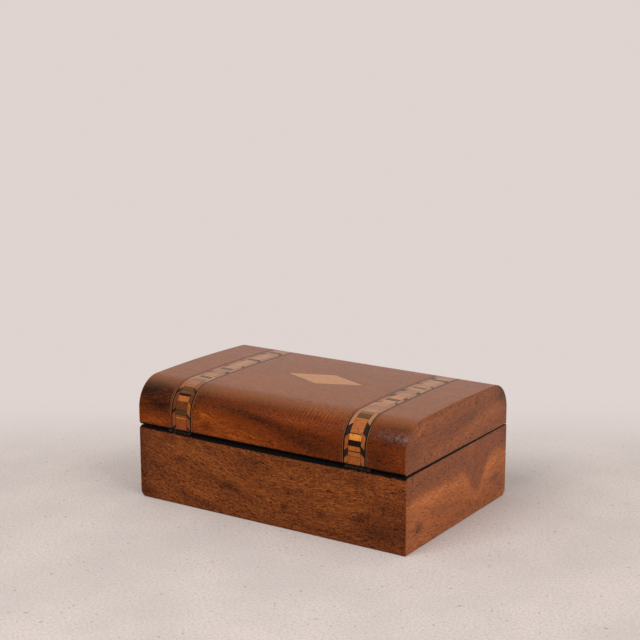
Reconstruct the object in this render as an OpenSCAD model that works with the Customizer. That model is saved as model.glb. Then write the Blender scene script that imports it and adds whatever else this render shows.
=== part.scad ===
// Hinged wooden box with a round-shouldered lid, veneered in walnut.
// Two bands of small inlaid blocks run over the lid, and a lozenge is let into its top.
// Millimetres. Z is up, X runs along the box and the hinge side faces -Y.
// The origin is on the ground, under the middle of the base.

/* [Base] */
// Length of the base
base_l = 280; // [240:1:320]
// Width of the base from the hinge side to the lock side
base_w = 184; // [160:1:220]
// Height of the rim above the ground
base_h = 67.5; // [60:0.5:90]
// Thickness of the boards that make the walls
board_t = 9.5; // [8:0.5:12]
// Thickness of the bottom board
bottom_t = 6; // [4:0.5:9]
// Thickness of the veneer and of everything inlaid in it
veneer_t = 0.8; // [0.6:0.1:1.5]
// Height of the stop chamfer along the hinge side, on the base and on the lid
chamfer = 2.3; // [2:0.1:2.6]

/* [Lid] */
// How far the lid stands out past the base on the hinge side and the lock side
overhang = 0.8; // [0.3:0.1:1]
// How far the lid stands back from the base at each end
end_setback = 0.7; // [0.3:0.1:1]
// Height of the lid's highest line above the ground
lid_top = 112; // [108:0.5:120]
// Radius of the two long shoulders
shoulder_r = 27; // [24:1:30]
// Radius of the slight crown across the top
crown_r = 1750; // [1200:50:3000]
// Distance of the crown's highest line from the middle, toward the hinge side
crown_shift = 24; // [0:1:30]
// Thickness of the top board at its thinnest
top_board_t = 7; // [6:0.5:9]
// Open gap between rim and lid at the hinge side
gap_back = 1.5; // [1.2:0.1:1.8]
// Open gap between rim and lid at the lock side
gap_front = 0.5; // [0.4:0.1:0.8]

/* [Lining] */
// Thickness of the paper-covered card on the walls
wall_card_t = 0.8; // [0.5:0.1:1.2]
// Thickness of the paper-covered card on the base floor and under the lid's top
flat_card_t = 1.4; // [1:0.1:2]

/* [Straps] */
// Distance between the middles of the two inlaid straps
strap_spacing = 181.5; // [160:0.5:200]
// Distance of the pair of straps from the middle of the lid
strap_shift = -0.25; // [-3:0.25:3]
// Width of one strap
strap_w = 25; // [22:0.5:28]
// Width of the dark line along each edge of the blocks
dark_line_w = 1.1; // [0.8:0.1:1.4]
// Width of the light line outside the dark one
light_line_w = 0.9; // [0.6:0.1:1.2]
// Width of the column of straight blocks in the middle of a strap
middle_w = 12.2; // [10:0.2:14]
// Spacing of the dark side blocks along a strap
strap_pitch = 24.5; // [20:0.5:30]
// Slant of the side blocks' ends across their column
block_slant = 3.4; // [2:0.2:5]
// Length of a dark side block
dark_block_l = 8.5; // [6:0.5:11]
// Length of a dark bar across the middle column
bar_l = 5; // [3:0.5:7]
// Thickness of a thin dark line between light blocks
thin_line_t = 0.5; // [0.4:0.1:0.8]

/* [Lozenge] */
// Length of the lozenge, along the box
lozenge_l = 81; // [70:1:90]
// Width of the lozenge, across the box
lozenge_w = 35; // [30:1:40]
// Place of the lozenge's centre along the box
lozenge_x = 4.5; // [-8:0.5:8]
// Place of the lozenge's centre across the box
lozenge_y = -3; // [-6:0.2:6]
// Width of the fine line around the lozenge
lozenge_line_w = 0.7; // [0.5:0.1:1.2]

/* [Hinges] */
// Length of one hinge
hinge_l = 25.4; // [22:0.2:30]
// Distance between the middles of the two hinges
hinge_spacing = 187; // [170:1:200]
// Distance of the pair of hinges from the middle of the box
hinge_shift = -0.5; // [-3:0.5:3]
// Outer radius of the knuckles
knuckle_r = 2; // [1.8:0.1:2.1]
// Radius of the hinge pin
pin_r = 0.9; // [0.7:0.1:1]
// Thickness of a hinge leaf
leaf_t = 1.1; // [0.8:0.1:1.2]
// How far a leaf reaches inward from the pin
leaf_w = 7.3; // [6:0.1:7.5]

/* [Lock] */
// Width of the lock's plates
lock_w = 40; // [36:1:46]
// Height of the lock's back plate
lock_h = 24; // [22:1:28]
// Thickness of the lock's plates
lock_plate_t = 1.2; // [1:0.1:1.5]
// Depth of the room inside the lock
lock_room = 5.4; // [5.2:0.1:5.8]
// Distance between the two staples that hang from the lid
staple_spacing = 16; // [14:1:18]
// Travel of the bolt
bolt_travel = 3.5; // [3:0.1:4]
// Radius of the round end of the keyhole
keyhole_r = 3.2; // [2.8:0.1:3.6]

/* [Hidden] */
$fn = 96;

// ---- sides of the box ----
BACK = -1;
FRONT = 1;
far = 400;                             // longer than any part, for cutting shapes
half_l = base_l / 2;
half_w = base_w / 2;
lid_half_l = half_l - end_setback;
lid_half_w = half_w + overhang;
core_l = half_l - veneer_t;            // outside of the base's boards
core_w = half_w - veneer_t;
inner_l = core_l - board_t;            // inside of the base's boards
inner_w = core_w - board_t;
lid_core_l = lid_half_l - veneer_t;
lid_core_w = lid_half_w - veneer_t;
lid_inner_l = lid_core_l - board_t;
lid_inner_w = lid_core_w - board_t;
veneer_lift = 0.2;                     // the veneer stops short of the ground

// ---- the lid's section: two shoulders, tangent to a wide crown ----
crown_y = -crown_shift;
crown_z = lid_top - crown_r;
shoulder_y = lid_half_w - shoulder_r;
shoulder_steps = 20;
crown_steps = 8;
function edge_z(y) = base_h + gap_back + (gap_front - gap_back) * (y + half_w) / base_w;
function shoulder_z(side) =
    crown_z + sqrt(pow(crown_r - shoulder_r, 2) - pow(side * shoulder_y - crown_y, 2));
function tangent_angle(side) =
    atan2(shoulder_z(side) - crown_z, side * shoulder_y - crown_y);

// ---- length along the lid's outer face, from its back edge to its front edge ----
back_rise = shoulder_z(BACK) - edge_z(-lid_half_w);
back_turn = shoulder_r * (180 - tangent_angle(BACK)) * PI / 180;
top_run = crown_r * (tangent_angle(BACK) - tangent_angle(FRONT)) * PI / 180;
front_turn = shoulder_r * tangent_angle(FRONT) * PI / 180;
s_shoulder = back_rise;
s_top = s_shoulder + back_turn;
s_front = s_top + top_run;
s_fall = s_front + front_turn;
function on_arc(y, z, r, a) = [y + r * cos(a), z + r * sin(a)];
function arc(y, z, r, a0, a1, picks, steps) =
    [for (i = picks) on_arc(y, z, r, a0 + (a1 - a0) * i / steps)];
function degrees_of(length, r) = length / r * 180 / PI;
function normal_at(s) =
    s < s_shoulder ? 180
    : s < s_top ? 180 - degrees_of(s - s_shoulder, shoulder_r)
    : s < s_front ? tangent_angle(BACK) - degrees_of(s - s_top, crown_r)
    : s < s_fall ? tangent_angle(FRONT) - degrees_of(s - s_front, shoulder_r)
    : 0;
function point_at(s) =
    s < s_shoulder ? [-lid_half_w, edge_z(-lid_half_w) + s]
    : s < s_top ? on_arc(-shoulder_y, shoulder_z(BACK), shoulder_r, normal_at(s))
    : s < s_front ? on_arc(crown_y, crown_z, crown_r, normal_at(s))
    : s < s_fall ? on_arc(shoulder_y, shoulder_z(FRONT), shoulder_r, normal_at(s))
    : [lid_half_w, shoulder_z(FRONT) - (s - s_fall)];

// ---- the hollow of the lid, a box with slanted upper corners ----
hollow_top = on_arc(crown_y, crown_z, crown_r, tangent_angle(FRONT))[1] - veneer_t - top_board_t;
hollow_slant = 12;
hollow_corner_z = hollow_top - hollow_slant;
hollow_corner_y = lid_inner_w - hollow_slant;

// ---- straps ----
STRAP_X = [strap_shift - strap_spacing / 2, strap_shift + strap_spacing / 2];
blocks_w = strap_w - 2 * (dark_line_w + light_line_w + thin_line_t);
strap_repeats = 9;
cutter_depth = 3;                      // of the cutters, into and out of the lid's face
cutter_spare = 0.6;                    // by which a cutter runs past its column
LEFT = 0;
RIGHT = 1;
BARS = [                               // where the bars lie along each strap
    [19, 43, 68.5, 101.5, 143, 180.5, 212, 231],
    [20.5, 47.5, 94.5, 141, 176, 207.5, 234]
];
line_step = 8;                         // from a bar to the thin line that follows it
FIRST_DARK = [19.5, 14];               // first dark side block, and the same for the rest
SECOND_DARK = [44, 33];
function dark_place(strap, k) =
    k == 0 ? FIRST_DARK[strap] : SECOND_DARK[strap] + (k - 1) * strap_pitch;

// ---- hinges ----
HINGE_X = [hinge_shift - hinge_spacing / 2, hinge_shift + hinge_spacing / 2];
hinge_y = -half_w + chamfer;
hinge_z = base_h + gap_back / 2;
knuckles = 5;
knuckle_gap = 0.3;                     // between neighbouring knuckles
knuckle_clear = 0.35;                  // around the knuckles in the wood
bore_clear = 0.05;                     // between the pin and the lid's knuckles
leaf_end = hinge_y + leaf_w;
lid_leaf_z = edge_z(leaf_end);
hinge_screw_x = 8;
hinge_screw_y = leaf_end - 2.6;
hinge_screw_l = 9;
screw_r = 1.1;
screw_head_r = 2;
screw_head_h = 1;

// ---- lock ----
lock_back = inner_w;                   // face of the back plate, flush with the board
lock_case_w = 34;
lock_case_y = lock_back + lock_plate_t;
lock_case_end = lock_case_y + lock_room + 1;
lock_case_low = base_h - lock_h + 4;
selvedge_w = 8.3;
selvedge_z = base_h - lock_plate_t;
keyhole_z = base_h - 17;
keyhole_slot_w = 2.6;
keyhole_slot_l = 6;
bolt_y = lock_case_y + 1.9;
bolt_t = 1.8;
bolt_low = base_h - 15;
bolt_high = base_h - 9;
prong_low = base_h - 7;
prong_high = base_h - 5;
prong_gap = 0.6;                       // between a prong's tip and its staple at rest
post_w = 2.5;
eye_clear = 0.4;
staple_t = 2;
staple_y = lock_case_y + 0.4;
staple_w = 4.8;
staple_low = base_h - 8;
link_z = edge_z(lock_case_y) + 0.05;
link_w = 32;
link_depth = 6.8;
lock_screw_r = 1;
lock_screw_x = lock_w / 2 - 1.6;
lock_screw_z = [base_h - lock_h + 2, base_h - 4];
lock_screw_l = 6;
link_screw_l = 7;
lock_head_r = 1.5;
lock_head_h = 0.8;
key_pin_l = 7;

// ================= helpers =================

// Extrudes a section drawn in the YZ plane from x0 to x1.
module along_x(x0, x1) {
    translate([x0, 0, 0])
        rotate([90, 0, 90])
            linear_extrude(x1 - x0)
                children();
}

// A block given by its two opposite corners.
module block(low, high) {
    translate(low)
        cube(high - low);
}

// A rod along X.
module rod_x(x0, x1, y, z, r) {
    translate([x0, y, z])
        rotate([0, 90, 0])
            cylinder(h = x1 - x0, r = r);
}

// A countersunk screw with its head at the origin, driven toward -Z.
module screw(length, r, head_r, head_h) {
    difference() {
        union() {
            translate([0, 0, -head_h])
                cylinder(h = head_h, r1 = r, r2 = head_r);
            translate([0, 0, -length])
                cylinder(h = length - head_h, r = r);
        }
        translate([-head_r, -0.25, -0.4])
            cube([2 * head_r, 0.5, 1]);
    }
}

// The hole that a screw fills.
module screw_hole(length, r, head_r, head_h) {
    translate([0, 0, -head_h])
        cylinder(h = head_h, r1 = r, r2 = head_r);
    translate([0, 0, -length])
        cylinder(h = length, r = r);
}

// The lid's whole section, moved in by inset, down past its lower edge.
module lid_outline(inset) {
    wall = lid_half_w - inset;
    low = edge_z(lid_half_w) - 2;
    rs = shoulder_r - inset;
    rc = crown_r - inset;
    back_angle = tangent_angle(BACK);
    front_angle = tangent_angle(FRONT);
    polygon(concat(
        [[-wall, low]],
        arc(-shoulder_y, shoulder_z(BACK), rs, 180, back_angle, [0:shoulder_steps], shoulder_steps),
        arc(crown_y, crown_z, rc, back_angle, front_angle, [1:crown_steps - 1], crown_steps),
        arc(shoulder_y, shoulder_z(FRONT), rs, front_angle, 0, [0:shoulder_steps], shoulder_steps),
        [[wall, low]]
    ));
}

// Everything below the lid's lower edge, with its stop chamfer.
module below_lid() {
    polygon([
        [-far, edge_z(-far)], [far, edge_z(far)], [far, -far], [-far, -far]
    ]);
    polygon([
        [-lid_half_w - 1, edge_z(-lid_half_w) - 1],
        [-lid_half_w + chamfer + 1, edge_z(-lid_half_w) - 1],
        [-lid_half_w - 1, edge_z(-lid_half_w) + chamfer + 1]
    ]);
}

// Section of the hollow inside the lid.
module lid_hollow() {
    polygon([
        [-lid_inner_w, edge_z(-lid_inner_w)],
        [lid_inner_w, edge_z(lid_inner_w)],
        [lid_inner_w, hollow_corner_z],
        [hollow_corner_y, hollow_top],
        [-hollow_corner_y, hollow_top],
        [-lid_inner_w, hollow_corner_z]
    ]);
}

// The skin of the lid between x0 and x1, as thick as the veneer.
module lid_skin(x0, x1) {
    along_x(x0, x1)
        difference() {
            lid_outline(0);
            lid_outline(veneer_t);
            below_lid();
        }
}

// The room that each hinge needs in the base or in the lid.
module hinge_room(leaf_low, leaf_high) {
    for (x = HINGE_X) {
        rod_x(
            x - hinge_l / 2 - knuckle_gap, x + hinge_l / 2 + knuckle_gap,
            hinge_y, hinge_z, knuckle_r + knuckle_clear
        );
        block([x - hinge_l / 2, hinge_y, leaf_low], [x + hinge_l / 2, leaf_end, leaf_high]);
    }
}
module hinge_room_base() {
    hinge_room(base_h - leaf_t, base_h + 1);
}
module hinge_room_lid() {
    hinge_room(base_h, lid_leaf_z + leaf_t);
}

// The chamfer cut from the base along the hinge side.
module base_chamfer_cut() {
    along_x(-far, far)
        polygon([
            [-half_w - 1, base_h - chamfer - 1],
            [-half_w - 1, base_h + 1],
            [-half_w + chamfer + 1, base_h + 1]
        ]);
}

// ================= base =================

module base_front_board() {
    color("saddlebrown")
        difference() {
            block([-core_l, inner_w, bottom_t], [core_l, core_w, base_h]);
            lock_mortise();
        }
}

module base_back_board() {
    color("saddlebrown")
        difference() {
            block([-core_l, -core_w, bottom_t], [core_l, -inner_w, base_h]);
            base_chamfer_cut();
            hinge_room_base();
            hinge_base_screw_places()
                screw_hole(hinge_screw_l, screw_r, screw_head_r, screw_head_h);
        }
}

module base_end_board(side) {
    x = side * (inner_l + core_l) / 2;
    color("saddlebrown")
        block([x - board_t / 2, -inner_w, bottom_t], [x + board_t / 2, inner_w, base_h]);
}
module base_left_board() {
    base_end_board(-1);
}
module base_right_board() {
    base_end_board(1);
}

module base_bottom_board() {
    color("peru")
        block([-core_l, -core_w, 0], [core_l, core_w, bottom_t]);
}

module base_front_veneer() {
    color("sienna")
        difference() {
            block([-half_l, core_w, veneer_lift], [half_l, half_w, base_h]);
            keyhole(keyhole_r + 1);
        }
}

module base_back_veneer() {
    color("sienna")
        difference() {
            block([-half_l, -half_w, veneer_lift], [half_l, -core_w, base_h]);
            base_chamfer_cut();
            hinge_room_base();
        }
}

module base_end_veneer(side) {
    x = side * (half_l + core_l) / 2;
    color("sienna")
        difference() {
            block(
                [x - veneer_t / 2, -core_w, veneer_lift],
                [x + veneer_t / 2, core_w, base_h]
            );
            base_chamfer_cut();
        }
}
module base_left_veneer() {
    base_end_veneer(-1);
}
module base_right_veneer() {
    base_end_veneer(1);
}

module base_wall_lining() {
    low = bottom_t + flat_card_t;
    high = base_h - 1.5;
    color("slateblue")
        difference() {
            block([-inner_l, -inner_w, low], [inner_l, inner_w, high]);
            block(
                [-inner_l + wall_card_t, -inner_w + wall_card_t, low - 1],
                [inner_l - wall_card_t, inner_w - wall_card_t, high + 1]
            );
            block(
                [-lock_w / 2, inner_w - 2 * wall_card_t, base_h - lock_h],
                [lock_w / 2, inner_w + 1, high + 1]
            );
        }
}

module base_floor_lining() {
    color("slateblue")
        block([-inner_l, -inner_w, bottom_t], [inner_l, inner_w, bottom_t + flat_card_t]);
}

// ================= hinges =================

// Knuckles number 0, 2 and 4 belong to the base, and 1 and 3 to the lid.
module knuckle_row(x, first, bore) {
    step = hinge_l / knuckles;
    difference() {
        for (k = [first:2:knuckles - 1])
            rod_x(
                x - hinge_l / 2 + k * step + (k == 0 ? 0 : knuckle_gap / 2),
                x - hinge_l / 2 + (k + 1) * step - (k == knuckles - 1 ? 0 : knuckle_gap / 2),
                hinge_y, hinge_z, knuckle_r
            );
        rod_x(x - hinge_l, x + hinge_l, hinge_y, hinge_z, bore);
    }
}

// A leaf, cut back where the other leaf's knuckles turn.
module leaf(x, low, other_first) {
    step = hinge_l / knuckles;
    difference() {
        block([x - hinge_l / 2, hinge_y, low], [x + hinge_l / 2, leaf_end, low + leaf_t]);
        rod_x(x - hinge_l, x + hinge_l, hinge_y, hinge_z, pin_r + 0.3);
        for (k = [other_first:2:knuckles - 1])
            rod_x(
                x - hinge_l / 2 + k * step - (k == 0 ? 1 : knuckle_gap / 2),
                x - hinge_l / 2 + (k + 1) * step + (k == knuckles - 1 ? 1 : knuckle_gap / 2),
                hinge_y, hinge_z, knuckle_r + knuckle_clear
            );
    }
}

module hinge_base_leaf(x) {
    color("darkgoldenrod")
        difference() {
            union() {
                knuckle_row(x, 0, pin_r);
                leaf(x, base_h - leaf_t, 1);
            }
            hinge_base_screw_places()
                screw_hole(hinge_screw_l, screw_r, screw_head_r, screw_head_h);
        }
}
module left_hinge_base_leaf() {
    hinge_base_leaf(HINGE_X[LEFT]);
}
module right_hinge_base_leaf() {
    hinge_base_leaf(HINGE_X[RIGHT]);
}

module hinge_lid_leaf(x) {
    color("darkgoldenrod")
        difference() {
            union() {
                knuckle_row(x, 1, pin_r + bore_clear);
                leaf(x, lid_leaf_z, 0);
            }
            hinge_lid_screw_places()
                screw_hole(hinge_screw_l, screw_r, screw_head_r, screw_head_h);
        }
}
module left_hinge_lid_leaf() {
    hinge_lid_leaf(HINGE_X[LEFT]);
}
module right_hinge_lid_leaf() {
    hinge_lid_leaf(HINGE_X[RIGHT]);
}

module hinge_pin(x) {
    color("goldenrod")
        rod_x(x - hinge_l / 2, x + hinge_l / 2, hinge_y, hinge_z, pin_r);
}
module left_hinge_pin() {
    hinge_pin(HINGE_X[LEFT]);
}
module right_hinge_pin() {
    hinge_pin(HINGE_X[RIGHT]);
}

module hinge_base_screw_places() {
    for (x = HINGE_X, offset = [-hinge_screw_x, hinge_screw_x])
        translate([x + offset, hinge_screw_y, base_h])
            children();
}
module hinge_lid_screw_places() {
    for (x = HINGE_X, offset = [-hinge_screw_x, hinge_screw_x])
        translate([x + offset, hinge_screw_y, lid_leaf_z])
            mirror([0, 0, 1])
                children();
}
module hinge_base_screws() {
    color("darkgoldenrod")
        hinge_base_screw_places()
            screw(hinge_screw_l, screw_r, screw_head_r, screw_head_h);
}
module hinge_lid_screws() {
    color("darkgoldenrod")
        hinge_lid_screw_places()
            screw(hinge_screw_l, screw_r, screw_head_r, screw_head_h);
}

// ================= lock =================

// The keyhole as a solid that runs through the front wall.
module keyhole(r) {
    slot = keyhole_slot_w + 2 * (r - keyhole_r);
    translate([0, lock_case_y, keyhole_z])
        rotate([-90, 0, 0])
            cylinder(h = board_t + 2, r = r);
    block(
        [-slot / 2, lock_case_y, keyhole_z - keyhole_slot_l - (r - keyhole_r)],
        [slot / 2, lock_case_y + board_t + 2, keyhole_z]
    );
}

// The room cut in the front board for the lock.
module lock_mortise() {
    block([-lock_w / 2, lock_back - 1, base_h - lock_h], [lock_w / 2, lock_case_y, base_h + 1]);
    block(
        [-lock_case_w / 2, lock_case_y - 1, lock_case_low],
        [lock_case_w / 2, lock_case_end, base_h + 1]
    );
    block(
        [-lock_w / 2, lock_back - 1, selvedge_z],
        [lock_w / 2, lock_back + selvedge_w, base_h + 1]
    );
    keyhole(keyhole_r);
    lock_screw_places()
        screw_hole(lock_screw_l, lock_screw_r, lock_head_r, lock_head_h);
}

module lock_case() {
    wall = 1;
    half = lock_case_w / 2;
    color("darkkhaki")
        difference() {
            union() {
                block(
                    [-lock_w / 2, lock_back, base_h - lock_h],
                    [lock_w / 2, lock_case_y, selvedge_z]
                );
                block([-half, lock_case_y, lock_case_low], [half, lock_case_end, selvedge_z]);
            }
            block(
                [-half + wall, lock_case_y, lock_case_low + wall],
                [half - wall, lock_case_end - wall, base_h]
            );
            keyhole(keyhole_r);
            lock_screw_places()
                screw_hole(lock_screw_l, lock_screw_r, lock_head_r, lock_head_h);
            lock_key_pin_rod();
        }
}

module lock_selvedge() {
    slot = staple_t / 2 + 0.5;
    color("darkkhaki")
        difference() {
            block(
                [-lock_w / 2, lock_back, selvedge_z],
                [lock_w / 2, lock_back + selvedge_w, base_h]
            );
            for (x = [-staple_spacing / 2, staple_spacing / 2])
                block(
                    [x - slot, staple_y - 0.4, selvedge_z - 1],
                    [x + slot, staple_y + staple_w + 0.4, base_h + 1]
                );
        }
}

// The bolt, with two prongs that pass through the staples when it is thrown.
module lock_bolt() {
    color("darkkhaki")
        difference() {
            union() {
                block([-14.5, bolt_y, bolt_low], [7.5, bolt_y + bolt_t, bolt_high]);
                for (x = [-staple_spacing / 2, staple_spacing / 2]) {
                    tip = x - staple_t / 2 - prong_gap;
                    neck = tip - bolt_travel;
                    block([neck - post_w, bolt_y, bolt_high], [neck, bolt_y + bolt_t, prong_high]);
                    block([neck, bolt_y, prong_low], [tip, bolt_y + bolt_t, prong_high]);
                }
            }
            translate([-bolt_travel / 2, bolt_y - 1, bolt_low - 0.6])
                rotate([-90, 0, 0])
                    cylinder(h = bolt_t + 2, r = 3.4);
        }
}

// A bent strip that bears on the bolt and keeps it where the key leaves it.
module lock_spring() {
    y0 = bolt_y + 0.2;
    z = lock_case_low + 1;
    color("dimgray")
        translate([0, y0 + bolt_t - 0.4, 0])
            rotate([90, 0, 0])
                linear_extrude(bolt_t - 0.4)
                    polygon([
                        [-15.8, z], [-15.2, z], [-9, z + 3.2], [-4.4, z + 3.2],
                        [-4.4, z + 3.7], [-9.2, z + 3.7], [-15.4, z + 0.7], [-15.8, z + 0.7]
                    ]);
}

module lock_key_pin_rod() {
    translate([0, lock_back, keyhole_z])
        rotate([-90, 0, 0])
            cylinder(h = key_pin_l, r = 1);
}
module lock_key_pin() {
    color("dimgray")
        lock_key_pin_rod();
}

module lock_screw_places() {
    for (x = [-lock_screw_x, lock_screw_x], z = lock_screw_z)
        translate([x, lock_back, z])
            rotate([90, 0, 0])
                children();
}
module lock_screws() {
    color("dimgray")
        lock_screw_places()
            screw(lock_screw_l, lock_screw_r, lock_head_r, lock_head_h);
}

module escutcheon() {
    color("darkgoldenrod")
        intersection() {
            difference() {
                keyhole(keyhole_r + 1);
                keyhole(keyhole_r);
            }
            block([-far, core_w, 0], [far, half_w, base_h]);
        }
}

// ================= lid =================

// Long rails, each with one shoulder of the lid.
module lid_rail(side) {
    along_x(-lid_core_l, lid_core_l)
        difference() {
            intersection() {
                lid_outline(veneer_t);
                translate([side > 0 ? shoulder_y : -far, 0])
                    square([far - shoulder_y, far]);
            }
            lid_hollow();
            below_lid();
        }
}
module lid_front_rail() {
    color("saddlebrown")
        difference() {
            lid_rail(FRONT);
            block(
                [-link_w / 2, lock_case_y, base_h],
                [link_w / 2, lock_case_y + link_depth, link_z + lock_plate_t]
            );
            link_screw_places()
                screw_hole(link_screw_l, lock_screw_r, lock_head_r, lock_head_h);
        }
}
module lid_back_rail() {
    color("saddlebrown")
        difference() {
            lid_rail(BACK);
            hinge_room_lid();
            hinge_lid_screw_places()
                screw_hole(hinge_screw_l, screw_r, screw_head_r, screw_head_h);
        }
}

module lid_end(side) {
    x = side * (lid_inner_l + lid_core_l) / 2;
    color("saddlebrown")
        along_x(x - board_t / 2, x + board_t / 2)
            lid_hollow();
}
module lid_left_end() {
    lid_end(-1);
}
module lid_right_end() {
    lid_end(1);
}

module lid_top_board() {
    color("peru")
        along_x(-lid_core_l, lid_core_l)
            difference() {
                intersection() {
                    lid_outline(veneer_t);
                    translate([-shoulder_y, hollow_top])
                        square([2 * shoulder_y, far]);
                }
                lid_hollow();
            }
}

module lid_veneer_left() {
    color("sienna")
        difference() {
            lid_skin(-lid_half_l, STRAP_X[LEFT] - strap_w / 2);
            hinge_room_lid();
        }
}
module lid_veneer_centre() {
    color("sienna")
        difference() {
            lid_skin(STRAP_X[LEFT] + strap_w / 2, STRAP_X[RIGHT] - strap_w / 2);
            lozenge_prism(lozenge_line_w);
            hinge_room_lid();
        }
}
module lid_veneer_right() {
    color("sienna")
        difference() {
            lid_skin(STRAP_X[RIGHT] + strap_w / 2, lid_half_l);
            hinge_room_lid();
        }
}

module lid_end_veneer(side) {
    x = side * (lid_core_l + lid_half_l) / 2;
    color("sienna")
        along_x(x - veneer_t / 2, x + veneer_t / 2)
            difference() {
                lid_outline(veneer_t);
                below_lid();
            }
}
module lid_left_end_veneer() {
    lid_end_veneer(-1);
}
module lid_right_end_veneer() {
    lid_end_veneer(1);
}

module lid_wall_lining() {
    low = edge_z(-lid_inner_w) + 1.5;
    color("slateblue")
        difference() {
            block([-lid_inner_l, -lid_inner_w, low], [lid_inner_l, lid_inner_w, hollow_corner_z]);
            block(
                [-lid_inner_l + wall_card_t, -lid_inner_w + wall_card_t, low - 1],
                [lid_inner_l - wall_card_t, lid_inner_w - wall_card_t, hollow_corner_z + 1]
            );
        }
}
module lid_top_lining() {
    color("slateblue")
        block(
            [-lid_inner_l, -hollow_corner_y, hollow_top - flat_card_t],
            [lid_inner_l, hollow_corner_y, hollow_top]
        );
}

module link_screw_places() {
    for (x = [-link_w / 2 + 2.6, link_w / 2 - 2.6])
        translate([x, lock_case_y + link_depth / 2, link_z])
            mirror([0, 0, 1])
                children();
}
// The plate in the lid's edge, with the two staples that enter the lock.
module link_plate() {
    color("darkkhaki")
        difference() {
            union() {
                block(
                    [-link_w / 2, lock_case_y, link_z],
                    [link_w / 2, lock_case_y + link_depth, link_z + lock_plate_t]
                );
                for (x = [-staple_spacing / 2, staple_spacing / 2])
                    block(
                        [x - staple_t / 2, staple_y, staple_low],
                        [x + staple_t / 2, staple_y + staple_w, link_z + lock_plate_t / 2]
                    );
            }
            block(
                [-link_w / 2, bolt_y - eye_clear, prong_low - eye_clear],
                [link_w / 2, bolt_y + bolt_t + eye_clear, prong_high + eye_clear]
            );
            link_screw_places()
                screw_hole(link_screw_l, lock_screw_r, lock_head_r, lock_head_h);
        }
}
module link_plate_screws() {
    color("dimgray")
        link_screw_places()
            screw(link_screw_l, lock_screw_r, lock_head_r, lock_head_h);
}

// ================= straps and lozenge =================

// Puts a cutter on the lid's outer face at length s, with its own Z pointing outward.
module at_s(s) {
    translate([0, point_at(s)[0], point_at(s)[1]])
        rotate([normal_at(s) - 90, 0, 0])
            children();
}

// Cutters for the dark side blocks, whose inner ends lie further along the strap.
// Each one runs past its column by the spare width.
module dark_side_cutters(strap) {
    inner = middle_w / 2;
    outer = blocks_w / 2;
    lean = block_slant / (outer - inner);
    half = dark_block_l / 2;
    rise = block_slant / 2 + lean * cutter_spare;
    for (k = [0:strap_repeats], side = [-1, 1])
        at_s(dark_place(strap, k))
            translate([STRAP_X[strap], 0, -cutter_depth])
                linear_extrude(2 * cutter_depth)
                    polygon([
                        [side * (outer + cutter_spare), -half - rise],
                        [side * (inner - cutter_spare), -half + rise],
                        [side * (inner - cutter_spare), half + rise],
                        [side * (outer + cutter_spare), half - rise]
                    ]);
}

// A cutter across the middle column at length s, as long as given.
module bar_cutter(strap, s, length) {
    reach = middle_w / 2 + cutter_spare;
    at_s(s)
        block(
            [STRAP_X[strap] - reach, -length / 2, -cutter_depth],
            [STRAP_X[strap] + reach, length / 2, cutter_depth]
        );
}

// Cutters for the bars across the middle column, and for the thin lines between them.
module bar_cutters(strap) {
    for (s = BARS[strap]) {
        bar_cutter(strap, s, bar_l);
        bar_cutter(strap, s + line_step, thin_line_t);
    }
}

// The middle column of a strap, and the two side columns.
module middle_column(strap) {
    difference() {
        lid_skin(STRAP_X[strap] - middle_w / 2, STRAP_X[strap] + middle_w / 2);
        hinge_room_lid();
    }
}
module side_columns(strap) {
    difference() {
        lid_skin(STRAP_X[strap] - blocks_w / 2, STRAP_X[strap] - middle_w / 2);
        hinge_room_lid();
    }
    difference() {
        lid_skin(STRAP_X[strap] + middle_w / 2, STRAP_X[strap] + blocks_w / 2);
        hinge_room_lid();
    }
}

module strap_light_middle(strap) {
    color("peru")
        difference() {
            middle_column(strap);
            bar_cutters(strap);
        }
}
module strap_dark_bars(strap) {
    color("black")
        intersection() {
            middle_column(strap);
            bar_cutters(strap);
        }
}
module strap_light_sides(strap) {
    color("burlywood")
        difference() {
            side_columns(strap);
            dark_side_cutters(strap);
        }
}
module strap_dark_sides(strap) {
    color("black")
        intersection() {
            side_columns(strap);
            dark_side_cutters(strap);
        }
}

// Lines along the strap, from the distance near to the distance near + w, on both sides.
module strap_lines(strap, near, w) {
    difference() {
        for (side = [-1, 1]) {
            x = STRAP_X[strap] + side * (near + w / 2);
            lid_skin(x - w / 2, x + w / 2);
        }
        hinge_room_lid();
    }
}
module strap_light_lines(strap) {
    color("burlywood")
        strap_lines(strap, blocks_w / 2 + dark_line_w, light_line_w);
}
module strap_dark_lines(strap) {
    color("black") {
        strap_lines(strap, blocks_w / 2, dark_line_w);
        strap_lines(strap, blocks_w / 2 + dark_line_w + light_line_w, thin_line_t);
    }
}
module left_strap_light_middle() {
    strap_light_middle(LEFT);
}
module left_strap_dark_bars() {
    strap_dark_bars(LEFT);
}
module left_strap_light_sides() {
    strap_light_sides(LEFT);
}
module left_strap_dark_sides() {
    strap_dark_sides(LEFT);
}
module left_strap_light_lines() {
    strap_light_lines(LEFT);
}
module left_strap_dark_lines() {
    strap_dark_lines(LEFT);
}
module right_strap_light_middle() {
    strap_light_middle(RIGHT);
}
module right_strap_dark_bars() {
    strap_dark_bars(RIGHT);
}
module right_strap_light_sides() {
    strap_light_sides(RIGHT);
}
module right_strap_dark_sides() {
    strap_dark_sides(RIGHT);
}
module right_strap_light_lines() {
    strap_light_lines(RIGHT);
}
module right_strap_dark_lines() {
    strap_dark_lines(RIGHT);
}

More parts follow.
